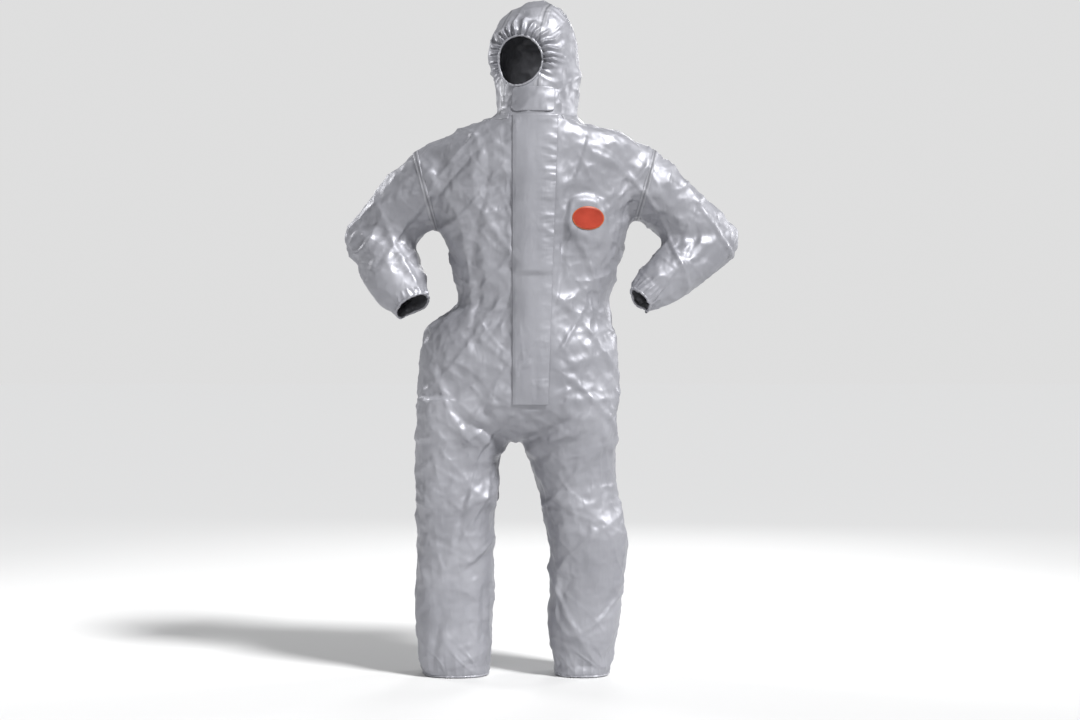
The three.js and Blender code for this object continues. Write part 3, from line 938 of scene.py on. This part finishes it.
def front_patch(name, skin, places, lift, thickness, calm, relief=None):
    """A patch over the front of the suit. places holds rows of (x, height) in millimetres; calm
    is how often it is smoothed, always staying outside the fabric; relief adds to its rise."""
    depth = np.array([[front_depth(skin, x, z) for x, z in row] for row in places]) - lift
    soft = depth.copy()
    for _ in range(calm):
        wide = np.pad(soft, 1, mode="edge")
        soft = (wide[:-2, 1:-1] + wide[2:, 1:-1] + wide[1:-1, :-2] + wide[1:-1, 2:]) / 4
        soft = np.minimum(soft, depth + 0.0004)
    rows = []
    for row, ys in zip(places, soft):
        rows.append([
            Vector((x * MM, y - (relief(x, z) * MM if relief else 0), z * MM + HEM_HEIGHT))
            for (x, z), y in zip(row, ys)
        ])
    return grid_piece(name, rows, False, thickness)


def rounded_rows(left, right, low, high, columns, count, radius):
    """Rows of places over a rectangle with rounded corners."""
    rows = []
    for i in range(count + 1):
        z = low + (high - low) * i / count
        edge = min(z - low, high - z)
        inset = radius - math.sqrt(max(radius**2 - (radius - min(edge, radius)) ** 2, 0))
        rows.append([
            (left + inset + (right - left - 2 * inset) * k / columns, z) for k in range(columns + 1)
        ])
    return rows


# ---- Materials ----


def shader(name, roughness, metallic=0.0, specular=0.5):
    material = bpy.data.materials.new(name)
    material.use_nodes = True
    tree = material.node_tree
    principled = tree.nodes["Principled BSDF"]
    principled.inputs["Roughness"].default_value = roughness
    principled.inputs["Metallic"].default_value = metallic
    principled.inputs["Specular IOR Level"].default_value = specular
    coords = tree.nodes.new("ShaderNodeTexCoord")
    return material, tree, principled, coords.outputs["Object"]


def node(tree, kind, inputs=(), **settings):
    made = tree.nodes.new(kind)
    for key, value in settings.items():
        setattr(made, key, value)
    for key, value in dict(inputs).items():
        if isinstance(value, bpy.types.NodeSocket):
            tree.links.new(value, made.inputs[key])
        else:
            made.inputs[key].default_value = value
    return made


def noise_node(tree, where, scale, detail=3.0, rough=0.55):
    return node(tree, "ShaderNodeTexNoise",
                {"Vector": where, "Scale": scale, "Detail": detail, "Roughness": rough})


def ramp(tree, value, low, high, colour_low, colour_high):
    made = node(tree, "ShaderNodeValToRGB", {"Fac": value})
    for stop, place, colour in zip(made.color_ramp.elements, (low, high), (colour_low, colour_high)):
        stop.position = place
        stop.color = (*colour, 1)
    return made.outputs["Color"]


def grey(value):
    return (value, value, value)


def laminate_material(sizes):
    """Silver-grey coated laminate: satin, crinkled, with sealed tapes along its seams."""
    material, tree, principled, where = shader("barrier_laminate", 0.4, 0.4, 0.55)
    cloud = noise_node(tree, where, 5.0, 4.0).outputs["Fac"]
    base = ramp(tree, cloud, 0.35, 0.68, sizes.fabric_dark, sizes.fabric)
    signed = node(tree, "ShaderNodeAttribute", attribute_name="seam").outputs["Fac"]
    seam = node(tree, "ShaderNodeMath", {0: signed}, operation="ABSOLUTE").outputs["Value"]
    taped = ramp(tree, seam, 0.0095, 0.0105, grey(1), grey(0))
    line = ramp(tree, seam, 0.0006, 0.0012, grey(1), grey(0))
    mix = node(tree, "ShaderNodeMix", data_type="RGBA")
    tree.links.new(taped, mix.inputs["Factor"])
    tree.links.new(base, mix.inputs[6])
    mix.inputs[7].default_value = (*sizes.tape, 1)
    dark = node(tree, "ShaderNodeMix", data_type="RGBA")
    tree.links.new(line, dark.inputs["Factor"])
    tree.links.new(mix.outputs[2], dark.inputs[6])
    dark.inputs[7].default_value = (*[c * 0.62 for c in sizes.fabric_dark], 1)
    tree.links.new(dark.outputs[2], principled.inputs["Base Color"])
    shine = ramp(tree, noise_node(tree, where, 38.0, 3.0).outputs["Fac"], 0.3, 0.7,
                 grey(0.42), grey(0.6))
    tree.links.new(shine, principled.inputs["Roughness"])
    fibres = noise_node(tree, where, 620.0, 2.0, 0.7)
    fine = node(tree, "ShaderNodeBump",
                {"Height": fibres.outputs["Fac"], "Strength": 0.1, "Distance": 0.0005})
    folds = fine
    for turn, scale, strength in ((0.6, 30.0, 0.55), (-0.8, 62.0, 0.4)):
        place = node(tree, "ShaderNodeMapping",
                     {"Vector": where, "Rotation": (0.2, turn, 0.0), "Scale": (1.0, 1.0, 0.4)})
        crinkle = node(
            tree, "ShaderNodeTexNoise",
            {"Vector": place.outputs["Vector"], "Scale": scale, "Detail": 4.0, "Roughness": 0.5,
             "Distortion": 0.4},
            noise_type="RIDGED_MULTIFRACTAL",
        )
        folds = node(tree, "ShaderNodeBump", {
            "Height": crinkle.outputs["Fac"], "Strength": strength, "Distance": 0.0022,
            "Normal": folds.outputs["Normal"],
        })
    edge = node(tree, "ShaderNodeBump", {
        "Height": taped, "Strength": 0.7, "Distance": 0.0008, "Normal": folds.outputs["Normal"],
    })
    tree.links.new(edge.outputs["Normal"], principled.inputs["Normal"])
    return material


def plain_material(name, light, dark, roughness, scale, bump, metallic=0.0):
    """A cloudy colour with a fine relief, for the small pieces."""
    material, tree, principled, where = shader(name, roughness, metallic)
    cloud = noise_node(tree, where, scale, 4.0).outputs["Fac"]
    tree.links.new(ramp(tree, cloud, 0.3, 0.7, dark, light), principled.inputs["Base Color"])
    shine = ramp(tree, cloud, 0.3, 0.7, grey(roughness * 0.85), grey(min(roughness * 1.15, 1)))
    tree.links.new(shine, principled.inputs["Roughness"])
    grain = noise_node(tree, where, scale * 9, 3.0).outputs["Fac"]
    relief = node(tree, "ShaderNodeBump", {"Height": grain, "Strength": bump, "Distance": 0.0006})
    tree.links.new(relief.outputs["Normal"], principled.inputs["Normal"])
    return material


def woven_material(name, light, dark, threads):
    """Narrow woven tape: crossed threads and a little fuzz."""
    material, tree, principled, where = shader(name, 0.8)
    weave = []
    for turn in ((0, 0, 0), (0, math.pi / 2, 0)):
        place = node(tree, "ShaderNodeMapping", {"Vector": where, "Rotation": turn})
        wave = node(tree, "ShaderNodeTexWave",
                    {"Vector": place.outputs["Vector"], "Scale": threads, "Distortion": 0.4})
        weave.append(wave.outputs["Fac"])
    cross = node(tree, "ShaderNodeMath", operation="MULTIPLY")
    tree.links.new(weave[0], cross.inputs[0])
    tree.links.new(weave[1], cross.inputs[1])
    tree.links.new(ramp(tree, cross.outputs["Value"], 0.0, 0.7, dark, light),
                   principled.inputs["Base Color"])
    relief = node(tree, "ShaderNodeBump",
                  {"Height": cross.outputs["Value"], "Strength": 0.5, "Distance": 0.0005})
    tree.links.new(relief.outputs["Normal"], principled.inputs["Normal"])
    return material


MATERIALS = {}


def dress(obj, material):
    obj.data.materials.clear()
    obj.data.materials.append(MATERIALS[material])


# ---- Operators ----


WORK = {}


class COVERALL_OT_materials(Operator):
    """Makes the materials of the coverall"""

    bl_idname = "coverall.materials"
    bl_label = "Materials"

    def execute(self, context):
        sizes = context.scene.coverall
        MATERIALS.update(
            laminate=laminate_material(sizes),
            tape=plain_material("sealed_tape", sizes.tape, sizes.fabric_dark, 0.34, 30, 0.15, 0.2),
            elastic=woven_material("elastic", (0.5, 0.5, 0.53), (0.34, 0.34, 0.37), 420),
            zip_tape=woven_material("zip_tape", (0.5, 0.5, 0.53), (0.3, 0.3, 0.33), 520),
            zip_plastic=plain_material("zip_plastic", (0.42, 0.43, 0.46), (0.34, 0.35, 0.37), 0.38,
                                       60, 0.1),
            badge=plain_material("badge", sizes.badge, [c * 0.72 for c in sizes.badge], 0.42, 24,
                                 0.12),
            badge_rim=plain_material("badge_rim", (0.5, 0.11, 0.03), (0.44, 0.09, 0.025), 0.42, 24,
                                     0.12),
            adhesive=plain_material("adhesive_film", (0.86, 0.86, 0.82), (0.78, 0.78, 0.73), 0.3,
                                    20, 0.1),
            label=plain_material("label", (0.9, 0.9, 0.88), (0.82, 0.82, 0.8), 0.7, 60, 0.2),
        )
        return {"FINISHED"}


class COVERALL_OT_cloth(Operator):
    """Forms the fabric: one skin that falls over the wearer's form and is then cut into panels"""

    bl_idname = "coverall.cloth"
    bl_label = "Cloth"

    def execute(self, context):
        sizes = context.scene.coverall
        cloth = body_solid("cloth", 0, sizes.mesh_size)
        open_up(cloth)
        wearer = body_solid("wearer", -sizes.body_gap / MM, 0.018)
        simulate(cloth, wearer, sizes)
        finish_cloth(cloth)
        WORK["cloth"] = cloth
        WORK["skin"] = Skin(cloth)
        return {"FINISHED"}


TRUNK_PANELS = {
    "chest_right": ("chest_right",), "chest_left": ("chest_left",), "back_panel": ("back_panel",),
    "hip_front_right": ("hip_front_right",), "hip_front_left": ("hip_front_left",),
    "seat_right": ("seat_right", "crotch_gusset"), "seat_left": ("seat_left",),
}


class COVERALL_OT_trunk(Operator):
    """Cuts the panels of the trunk"""

    bl_idname = "coverall.trunk"
    bl_label = "Trunk panels"

    def execute(self, context):
        for name, nodes in TRUNK_PANELS.items():
            piece = cut_panel(WORK["skin"], name, context.scene.coverall.thickness)
            piece.name = name + "_cloth"
            dress(piece, "laminate")
            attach(piece, "torso")
            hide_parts(*nodes)
        return {"FINISHED"}


class COVERALL_OT_hood(Operator):
    """Cuts the three panels of the hood"""

    bl_idname = "coverall.hood"
    bl_label = "Hood panels"

    def execute(self, context):
        skin = WORK["skin"]
        nodes = {
            "hood_right": ("hood_right", "chin_right"), "hood_left": ("hood_left", "chin_left"),
            "hood_centre": ("hood_centre", "hood_collar"),
        }
        for name, replaced in nodes.items():
            piece = cut_panel(skin, name, context.scene.coverall.thickness)
            piece.name = name + "_cloth"
            dress(piece, "laminate")
            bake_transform(piece)
            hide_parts(*replaced)
        return {"FINISHED"}


class COVERALL_OT_sleeves(Operator):
    """Cuts the sleeves"""

    bl_idname = "coverall.sleeves"
    bl_label = "Sleeves"

    def execute(self, context):
        skin = WORK["skin"]
        trunk = list(TRUNK_PANELS)
        for side, _sign in SIDES:
            arm = ARMS[side]
            head = cut_panel(skin, "sleeve_head_" + side, context.scene.coverall.thickness)
            head.name = f"sleeve_head_{side}_cloth"
            dress(head, "laminate")
            blend_between(head, armhole_normal(side),
                          skin.shared("sleeve_head_" + side, trunk),
                          skin.shared("sleeve_head_" + side, ["sleeve_" + side]))
            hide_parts("sleeve_head_" + side)
            sleeve = cut_panel(skin, "sleeve_" + side, context.scene.coverall.thickness)
            sleeve.name = f"sleeve_{side}_cloth"
            dress(sleeve, "laminate")
            fore = (arm["wrist"] - arm["elbow"]).normalized()
            up = (arm["elbow"] - arm["start"]).normalized()
            below = arm["elbow"] + fore * 0.15
            blend_between(sleeve, fore + up,
                          skin.shared("sleeve_" + side, ["sleeve_head_" + side]), [below])
            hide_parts("sleeve_upper_" + side, "sleeve_elbow_" + side,
                        "sleeve_lower_" + side, "wrist_hem_" + side)
        return {"FINISHED"}


class COVERALL_OT_legs(Operator):
    """Cuts the legs"""

    bl_idname = "coverall.legs"
    bl_label = "Legs"

    def execute(self, context):
        skin = WORK["skin"]
        trunk = list(TRUNK_PANELS)
        for side, _sign in SIDES:
            upper = cut_panel(skin, "leg_upper_" + side, context.scene.coverall.thickness)
            upper.name = f"leg_upper_{side}_cloth"
            dress(upper, "laminate")
            _start, normal = groin_frame(side)
            blend_between(upper, normal,
                          skin.shared("leg_upper_" + side, trunk),
                          skin.shared("leg_upper_" + side, ["leg_lower_" + side]))
            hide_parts("leg_groin_" + side, "leg_thigh_" + side)
            lower = cut_panel(skin, "leg_lower_" + side, context.scene.coverall.thickness)
            lower.name = f"leg_lower_{side}_cloth"
            dress(lower, "laminate")
            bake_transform(lower)
            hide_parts("leg_knee_" + side, "leg_shin_" + side, "ankle_hem_" + side)
        return {"FINISHED"}


class COVERALL_OT_tapes(Operator):
    """Lays the tapes round the armholes and neck and the elastic in the back of the waist"""

    bl_idname = "coverall.tapes"
    bl_label = "Tapes and waist elastic"

    def execute(self, context):
        skin, cloth = WORK["skin"], WORK["cloth"]
        up = Vector((0, 0, 1))
        for side, sign in SIDES:
            arm = ARMS[side]
            normal = Vector((0.966 * sign, 0, -0.259))
            line, closed = seam_line(
                cloth, arm["armhole"] + normal * 0.002, normal,
                lambda p, sign=sign: p.x * sign > 0.2 and p.z > at(0, 0, 1120).z,
            )
            points = spaced(line, closed, 0.006)
            tape = strip(f"armhole_seal_{side}", skin, points, closed, normal, 0.015, 0.0008, 0.0006)
            dress(tape, "laminate")
            mark_seam(tape, lambda p, a=arm["armhole"], n=normal: (p - a).dot(n) - 0.002)
            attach(tape, "torso")
            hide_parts("armhole_tape_" + side)
        line, closed = seam_line(
            cloth, at(0, 0, NECK_SEAM - 9), up, lambda p: p.y > -0.1 or abs(p.x) > 0.066
        )
        tape = strip("neck_seal", skin, spaced(line, closed, 0.006), closed, up, 0.017, 0.0008,
                     0.0006)
        dress(tape, "tape")
        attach(tape, "torso")
        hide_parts("neck_tape")
        line, closed = seam_line(cloth, at(0, 0, 975), up, lambda p: p.y > 0.012)
        band = strip("waist_band", skin, spaced(line, closed, 0.006), closed, up, 0.024, -0.0035,
                     0.0012)
        dress(band, "elastic")
        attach(band, "torso")
        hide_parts("waist_elastic")
        return {"FINISHED"}


class COVERALL_OT_edges(Operator):
    """Binds the elasticated edges of the face, wrists and ankles"""

    bl_idname = "coverall.edges"
    bl_label = "Elasticated edges"

    def execute(self, context):
        for loop in border_loops(WORK["cloth"]):
            if len(loop) < 30:
                continue
            middle = sum(loop, Vector()) / len(loop)
            height = (middle.z - HEM_HEIGHT) / MM
            if height > NECK_SEAM:
                name, body, replaced, radius = "face_binding", "hood", "face_elastic", 0.0030
            elif height < 100:
                side = "right" if middle.x < CROTCH_X * MM else "left"
                name, body, radius = "ankle_binding_" + side, "shin_" + side, 0.0030
                replaced = "ankle_elastic_" + side
            elif abs(middle.x) > 0.15:
                side = "right" if middle.x < 0 else "left"
                name, body, radius = "wrist_binding_" + side, "forearm_" + side, 0.0034
                replaced = "wrist_elastic_" + side
            else:
                continue
            edge = binding(name, spaced(loop, True, 0.0028, 6), radius)
            dress(edge, "tape")
            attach(edge, body)
            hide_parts(replaced)
        return {"FINISHED"}


class COVERALL_OT_zip(Operator):
    """Makes the zip, with the inner flap behind it"""

    bl_idname = "coverall.zip"
    bl_label = "Zip"

    def execute(self, context):
        for side, sign in SIDES:
            low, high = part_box("zip_coil_" + side)
            bm = bmesh.new()
            pitch = 0.0026
            count = int((high.z - low.z) / pitch)
            for i in range(count):
                z = low.z + pitch * (i + (0.75 if sign > 0 else 0.25))
                place = Matrix.Translation(((sign * 0.0016), (low.y + high.y) / 2, z))
                size = Matrix.Diagonal((0.0044, 0.0021, 0.0012, 1))
                bmesh.ops.create_cube(bm, size=1.0, matrix=place @ size)
            bmesh.ops.bevel(bm, geom=bm.edges[:], affect="EDGES", offset=0.0003, segments=1,
                            profile=0.5, material=-1)
            teeth = new_object("zip_teeth_" + side, bm)
            dress(teeth, "zip_plastic")
            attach(teeth, "torso")
            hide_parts("zip_coil_" + side)
            dress(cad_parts["zip_tape_" + side], "zip_tape")
            dress(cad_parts["zip_top_stop_" + side], "zip_plastic")
        for name in ("zip_bottom_stop", "zip_slider", "zip_pull"):
            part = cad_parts[name]
            dress(part, "zip_plastic")
            soften = part.modifiers.new("edges", "BEVEL")
            soften.width = 0.0004
            soften.segments = 2
        low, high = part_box("inner_flap")
        rows = []
        for i in range(121):
            z = low.z + (high.z - low.z) * i / 120
            row = []
            for k in range(13):
                x = low.x + (high.x - low.x) * k / 12
                wave = 0.0012 * noise.noise(Vector((x * 14, 0, z * 30)))
                row.append(Vector((x, low.y + 0.0012 + wave, z)))
            rows.append(row)
        flap = grid_piece("zip_underlay", rows, False, 0.0008)
        dress(flap, "laminate")
        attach(flap, "torso")
        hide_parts("inner_flap")
        return {"FINISHED"}


FLAP = dict(hinge=-60, top=58, bottom=32, low=702, high=1443)


def flap_edge(height):
    """Where the free edge of the storm flap lies at a height."""
    share = (height - FLAP["low"]) / (FLAP["high"] - FLAP["low"])
    return FLAP["bottom"] + (FLAP["top"] - FLAP["bottom"]) * share


def flap_relief(x, height):
    """How far the storm flap stands off the suit: an arch over the zip, with puckers."""
    share = (x - FLAP["hinge"]) / (flap_edge(height) - FLAP["hinge"])
    arch = 4 * share * (1 - share) * smooth_step(700, 760, height)
    place = Vector((x * 0.018, 3.1, height * 0.062))
    pucker = max(noise.noise(place) + 0.15, 0) + 0.4 * max(noise.noise(place * 2.3), 0)
    upper = 0.3 + 0.7 * smooth_step(1040, 1110, height)
    blouse = smooth_step(1030, 1046, height) * (1 - smooth_step(1060, 1200, height))
    ripple = noise.noise(Vector((x * 0.02, 8.0, height * 0.012)))
    place = Vector((x * MM, FRONT_PLANE, height * MM * 1.35))
    crumpled = 2.4 * facets(place, 13.0) + 1.2 * facets(place * 1.1, 34.0)
    sewn = 1 - smooth_step(0.0, 0.1, share)
    return (
        5.0 * arch + 5.0 * pucker * smooth_step(0.5, 0.88, share) * upper
        + (6 + 2 * ripple) * blouse * smooth_step(0, 0.3, share) + 1.2 * arch * ripple
        + (max(crumpled, -0.4) + 1) * (1 - sewn) - 1.7 * sewn
    )


class COVERALL_OT_flaps(Operator):
    """Makes the storm flap and the chin flap with their adhesive strips"""

    bl_idname = "coverall.flaps"
    bl_label = "Flaps"

    def execute(self, context):
        skin = WORK["skin"]
        rows = []
        for i in range(248):
            z = FLAP["low"] + (FLAP["high"] - FLAP["low"]) * i / 247
            edge = flap_edge(z)
            rows.append([(FLAP["hinge"] + (edge - FLAP["hinge"]) * k / 34, z) for k in range(35)])
        flap = front_patch("storm_flap_cloth", skin, rows, 0.0022, 0.0011, 12, flap_relief)
        dress(flap, "laminate")
        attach(flap, "storm_flap")
        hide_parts("storm_flap")
        rows = []
        for i in range(150):
            z = 706 + 728 * i / 149
            edge = flap_edge(z)
            rows.append([(edge - 9 + 8 * k / 3, z) for k in range(4)])
        strip_piece = front_patch("storm_flap_glue", skin, rows, 0.0006, 0.0004, 2)
        dress(strip_piece, "adhesive")
        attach(strip_piece, "torso")
        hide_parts("storm_flap_adhesive")
        rows = rounded_rows(-62, 50, 1450, 1515, 30, 20, 14)
        chin = front_patch(
            "chin_flap_cloth", skin, rows, 0.0012, 0.0010, 3,
            lambda x, z: 1.2 + 1.3 * facets(Vector((x, 5.0, z)) * MM, 19.0)
            + 0.7 * facets(Vector((x, 9.0, z)) * MM, 47.0),
        )
        dress(chin, "laminate")
        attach(chin, "chin_flap")
        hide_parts("chin_flap")
        rows = rounded_rows(36, 47, 1456, 1509, 4, 20, 2)
        strip_piece = front_patch("chin_flap_glue", skin, rows, 0.0006, 0.0004, 2)
        dress(strip_piece, "adhesive")
        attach(strip_piece, "hood")
        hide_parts("chin_flap_adhesive")
        return {"FINISHED"}


class COVERALL_OT_marks(Operator):
    """Makes the plain oval patch on the chest and the blank size label inside the back"""

    bl_idname = "coverall.marks"
    bl_label = "Patch and label"

    def execute(self, context):
        skin = WORK["skin"]
        for name, rim, lift, material in (
            ("chest_badge_rim", 0.0, 0.0012, "badge_rim"), ("chest_badge_face", 2.2, 0.0016, "badge"),
        ):
            rows = []
            for i in range(25):
                v = i / 12 - 1
                rows.append([
                    (BADGE[0] + (BADGE_HALF[0] - rim) * u * math.sqrt(1 - v * v / 2),
                     BADGE[1] + (BADGE_HALF[1] - rim) * v * math.sqrt(1 - u * u / 2))
                    for u in (k / 12 - 1 for k in range(25))
                ])
            badge = front_patch(name, skin, rows, lift, 0.0005, 16)
            dress(badge, material)
            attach(badge, "torso")
            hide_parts("chest_badge")
        rows = []
        for i in range(16):
            z = 1352 + 60 * i / 15
            row = []
            for k in range(13):
                x = 24 - 48 * k / 12
                hit = skin.tree.ray_cast(at(x, 0, z), Vector((0, 1, 0)))[0]
                row.append(hit - Vector((0, 0.0035, 0)))
            rows.append(row)
        label = grid_piece("neck_label", rows, False, 0.0006)
        dress(label, "label")
        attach(label, "torso")
        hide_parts("size_label")
        return {"FINISHED"}


class COVERALL_OT_tidy_up(Operator):
    """Takes away the uncut cloth once every piece has been made from it"""

    bl_idname = "coverall.tidy_up"
    bl_label = "Remove the uncut cloth"

    def execute(self, context):
        bpy.data.objects.remove(WORK.pop("cloth"))
        WORK.clear()
        return {"FINISHED"}


class COVERALL_OT_stage(Operator):
    """Sets up the floor, the lights, the world and the camera"""

    bl_idname = "coverall.stage"
    bl_label = "Stage"

    def execute(self, context):
        scene = context.scene
        bm = bmesh.new()
        bmesh.ops.create_grid(
            bm, x_segments=1, y_segments=1, size=60,
            matrix=Matrix.Translation((0, 0, HEM_HEIGHT - 0.004)),
        )
        floor = new_object("floor", bm)
        material, _tree, principled, _where = shader("studio_paper", 0.9)
        principled.inputs["Base Color"].default_value = (0.62, 0.62, 0.62, 1)
        floor.data.materials.append(material)
        middle = at(0, 0, 900)
        for name, place, size, power in (
            ("key", (1.9, -1.7, 2.7), 0.2, 4.8), ("fill", (-2.8, -2.2, 0.5), 0.9, 10),
            ("rim_right", (-2.2, 1.4, 1.3), 0.8, 26), ("rim_left", (2.4, 1.4, 0.9), 0.8, 26),
            ("front", (-0.5, -4.2, 0.9), 0.7, 16), ("back", (0.6, 3.6, 1.6), 1.2, 40),
        ):
            lamp = bpy.data.lights.new(name, "SUN" if name == "key" else "AREA")
            if name == "key":
                lamp.angle = size
            else:
                lamp.shape = "DISK"
                lamp.size = size
            lamp.energy = power
            light = bpy.data.objects.new(name, lamp)
            light.location = middle + Vector(place)
            aim = middle - light.location
            light.rotation_euler = aim.to_track_quat("-Z", "Y").to_euler()
            scene.collection.objects.link(light)
        scene.view_settings.view_transform = "Standard"
        world = bpy.data.worlds.new("studio")
        world.use_nodes = True
        tree = world.node_tree
        tree.nodes.clear()
        room = node(tree, "ShaderNodeBackground", {"Color": (0.95, 0.97, 1, 1), "Strength": 0.14})
        wall = node(tree, "ShaderNodeBackground", {"Color": (1, 1, 1, 1), "Strength": 0.735})
        path = node(tree, "ShaderNodeLightPath")
        mix = node(tree, "ShaderNodeMixShader", {
            0: path.outputs["Is Camera Ray"], 1: room.outputs[0], 2: wall.outputs[0],
        })
        node(tree, "ShaderNodeOutputWorld", {"Surface": mix.outputs[0]})
        scene.world = world
        camera_data = bpy.data.cameras.new("camera")
        camera_data.lens = 63.6
        camera = bpy.data.objects.new("camera", camera_data)
        camera.location = at(11, -5000, 817)
        camera.rotation_euler = (math.pi / 2, 0, 0)
        scene.collection.objects.link(camera)
        scene.camera = camera
        return {"FINISHED"}


OPERATORS = (
    COVERALL_OT_materials, COVERALL_OT_cloth, COVERALL_OT_trunk, COVERALL_OT_hood,
    COVERALL_OT_sleeves, COVERALL_OT_legs, COVERALL_OT_tapes, COVERALL_OT_edges,
    COVERALL_OT_zip, COVERALL_OT_flaps, COVERALL_OT_marks, COVERALL_OT_tidy_up, COVERALL_OT_stage,
)


class COVERALL_PT_panel(Panel):
    """Lists the coverall's sizes and its steps"""

    bl_label = "Protective Coverall"
    bl_idname = "COVERALL_PT_panel"
    bl_space_type = "VIEW_3D"
    bl_region_type = "UI"
    bl_category = "Coverall"

    def draw(self, context):
        sizes = context.scene.coverall
        for name in CoverallSizes.__annotations__:
            self.layout.prop(sizes, name)
        for operator in OPERATORS:
            self.layout.operator(operator.bl_idname)


def register():
    for cls in (CoverallSizes, *OPERATORS, COVERALL_PT_panel):
        bpy.utils.register_class(cls)
    bpy.types.Scene.coverall = PointerProperty(type=CoverallSizes)


def unregister():
    del bpy.types.Scene.coverall
    for cls in (COVERALL_PT_panel, *reversed(OPERATORS), CoverallSizes):
        bpy.utils.unregister_class(cls)


def main():
    register()
    for operator in OPERATORS:
        group, name = operator.bl_idname.split(".")
        getattr(getattr(bpy.ops, group), name)()


if __name__ == "__main__":
    main()
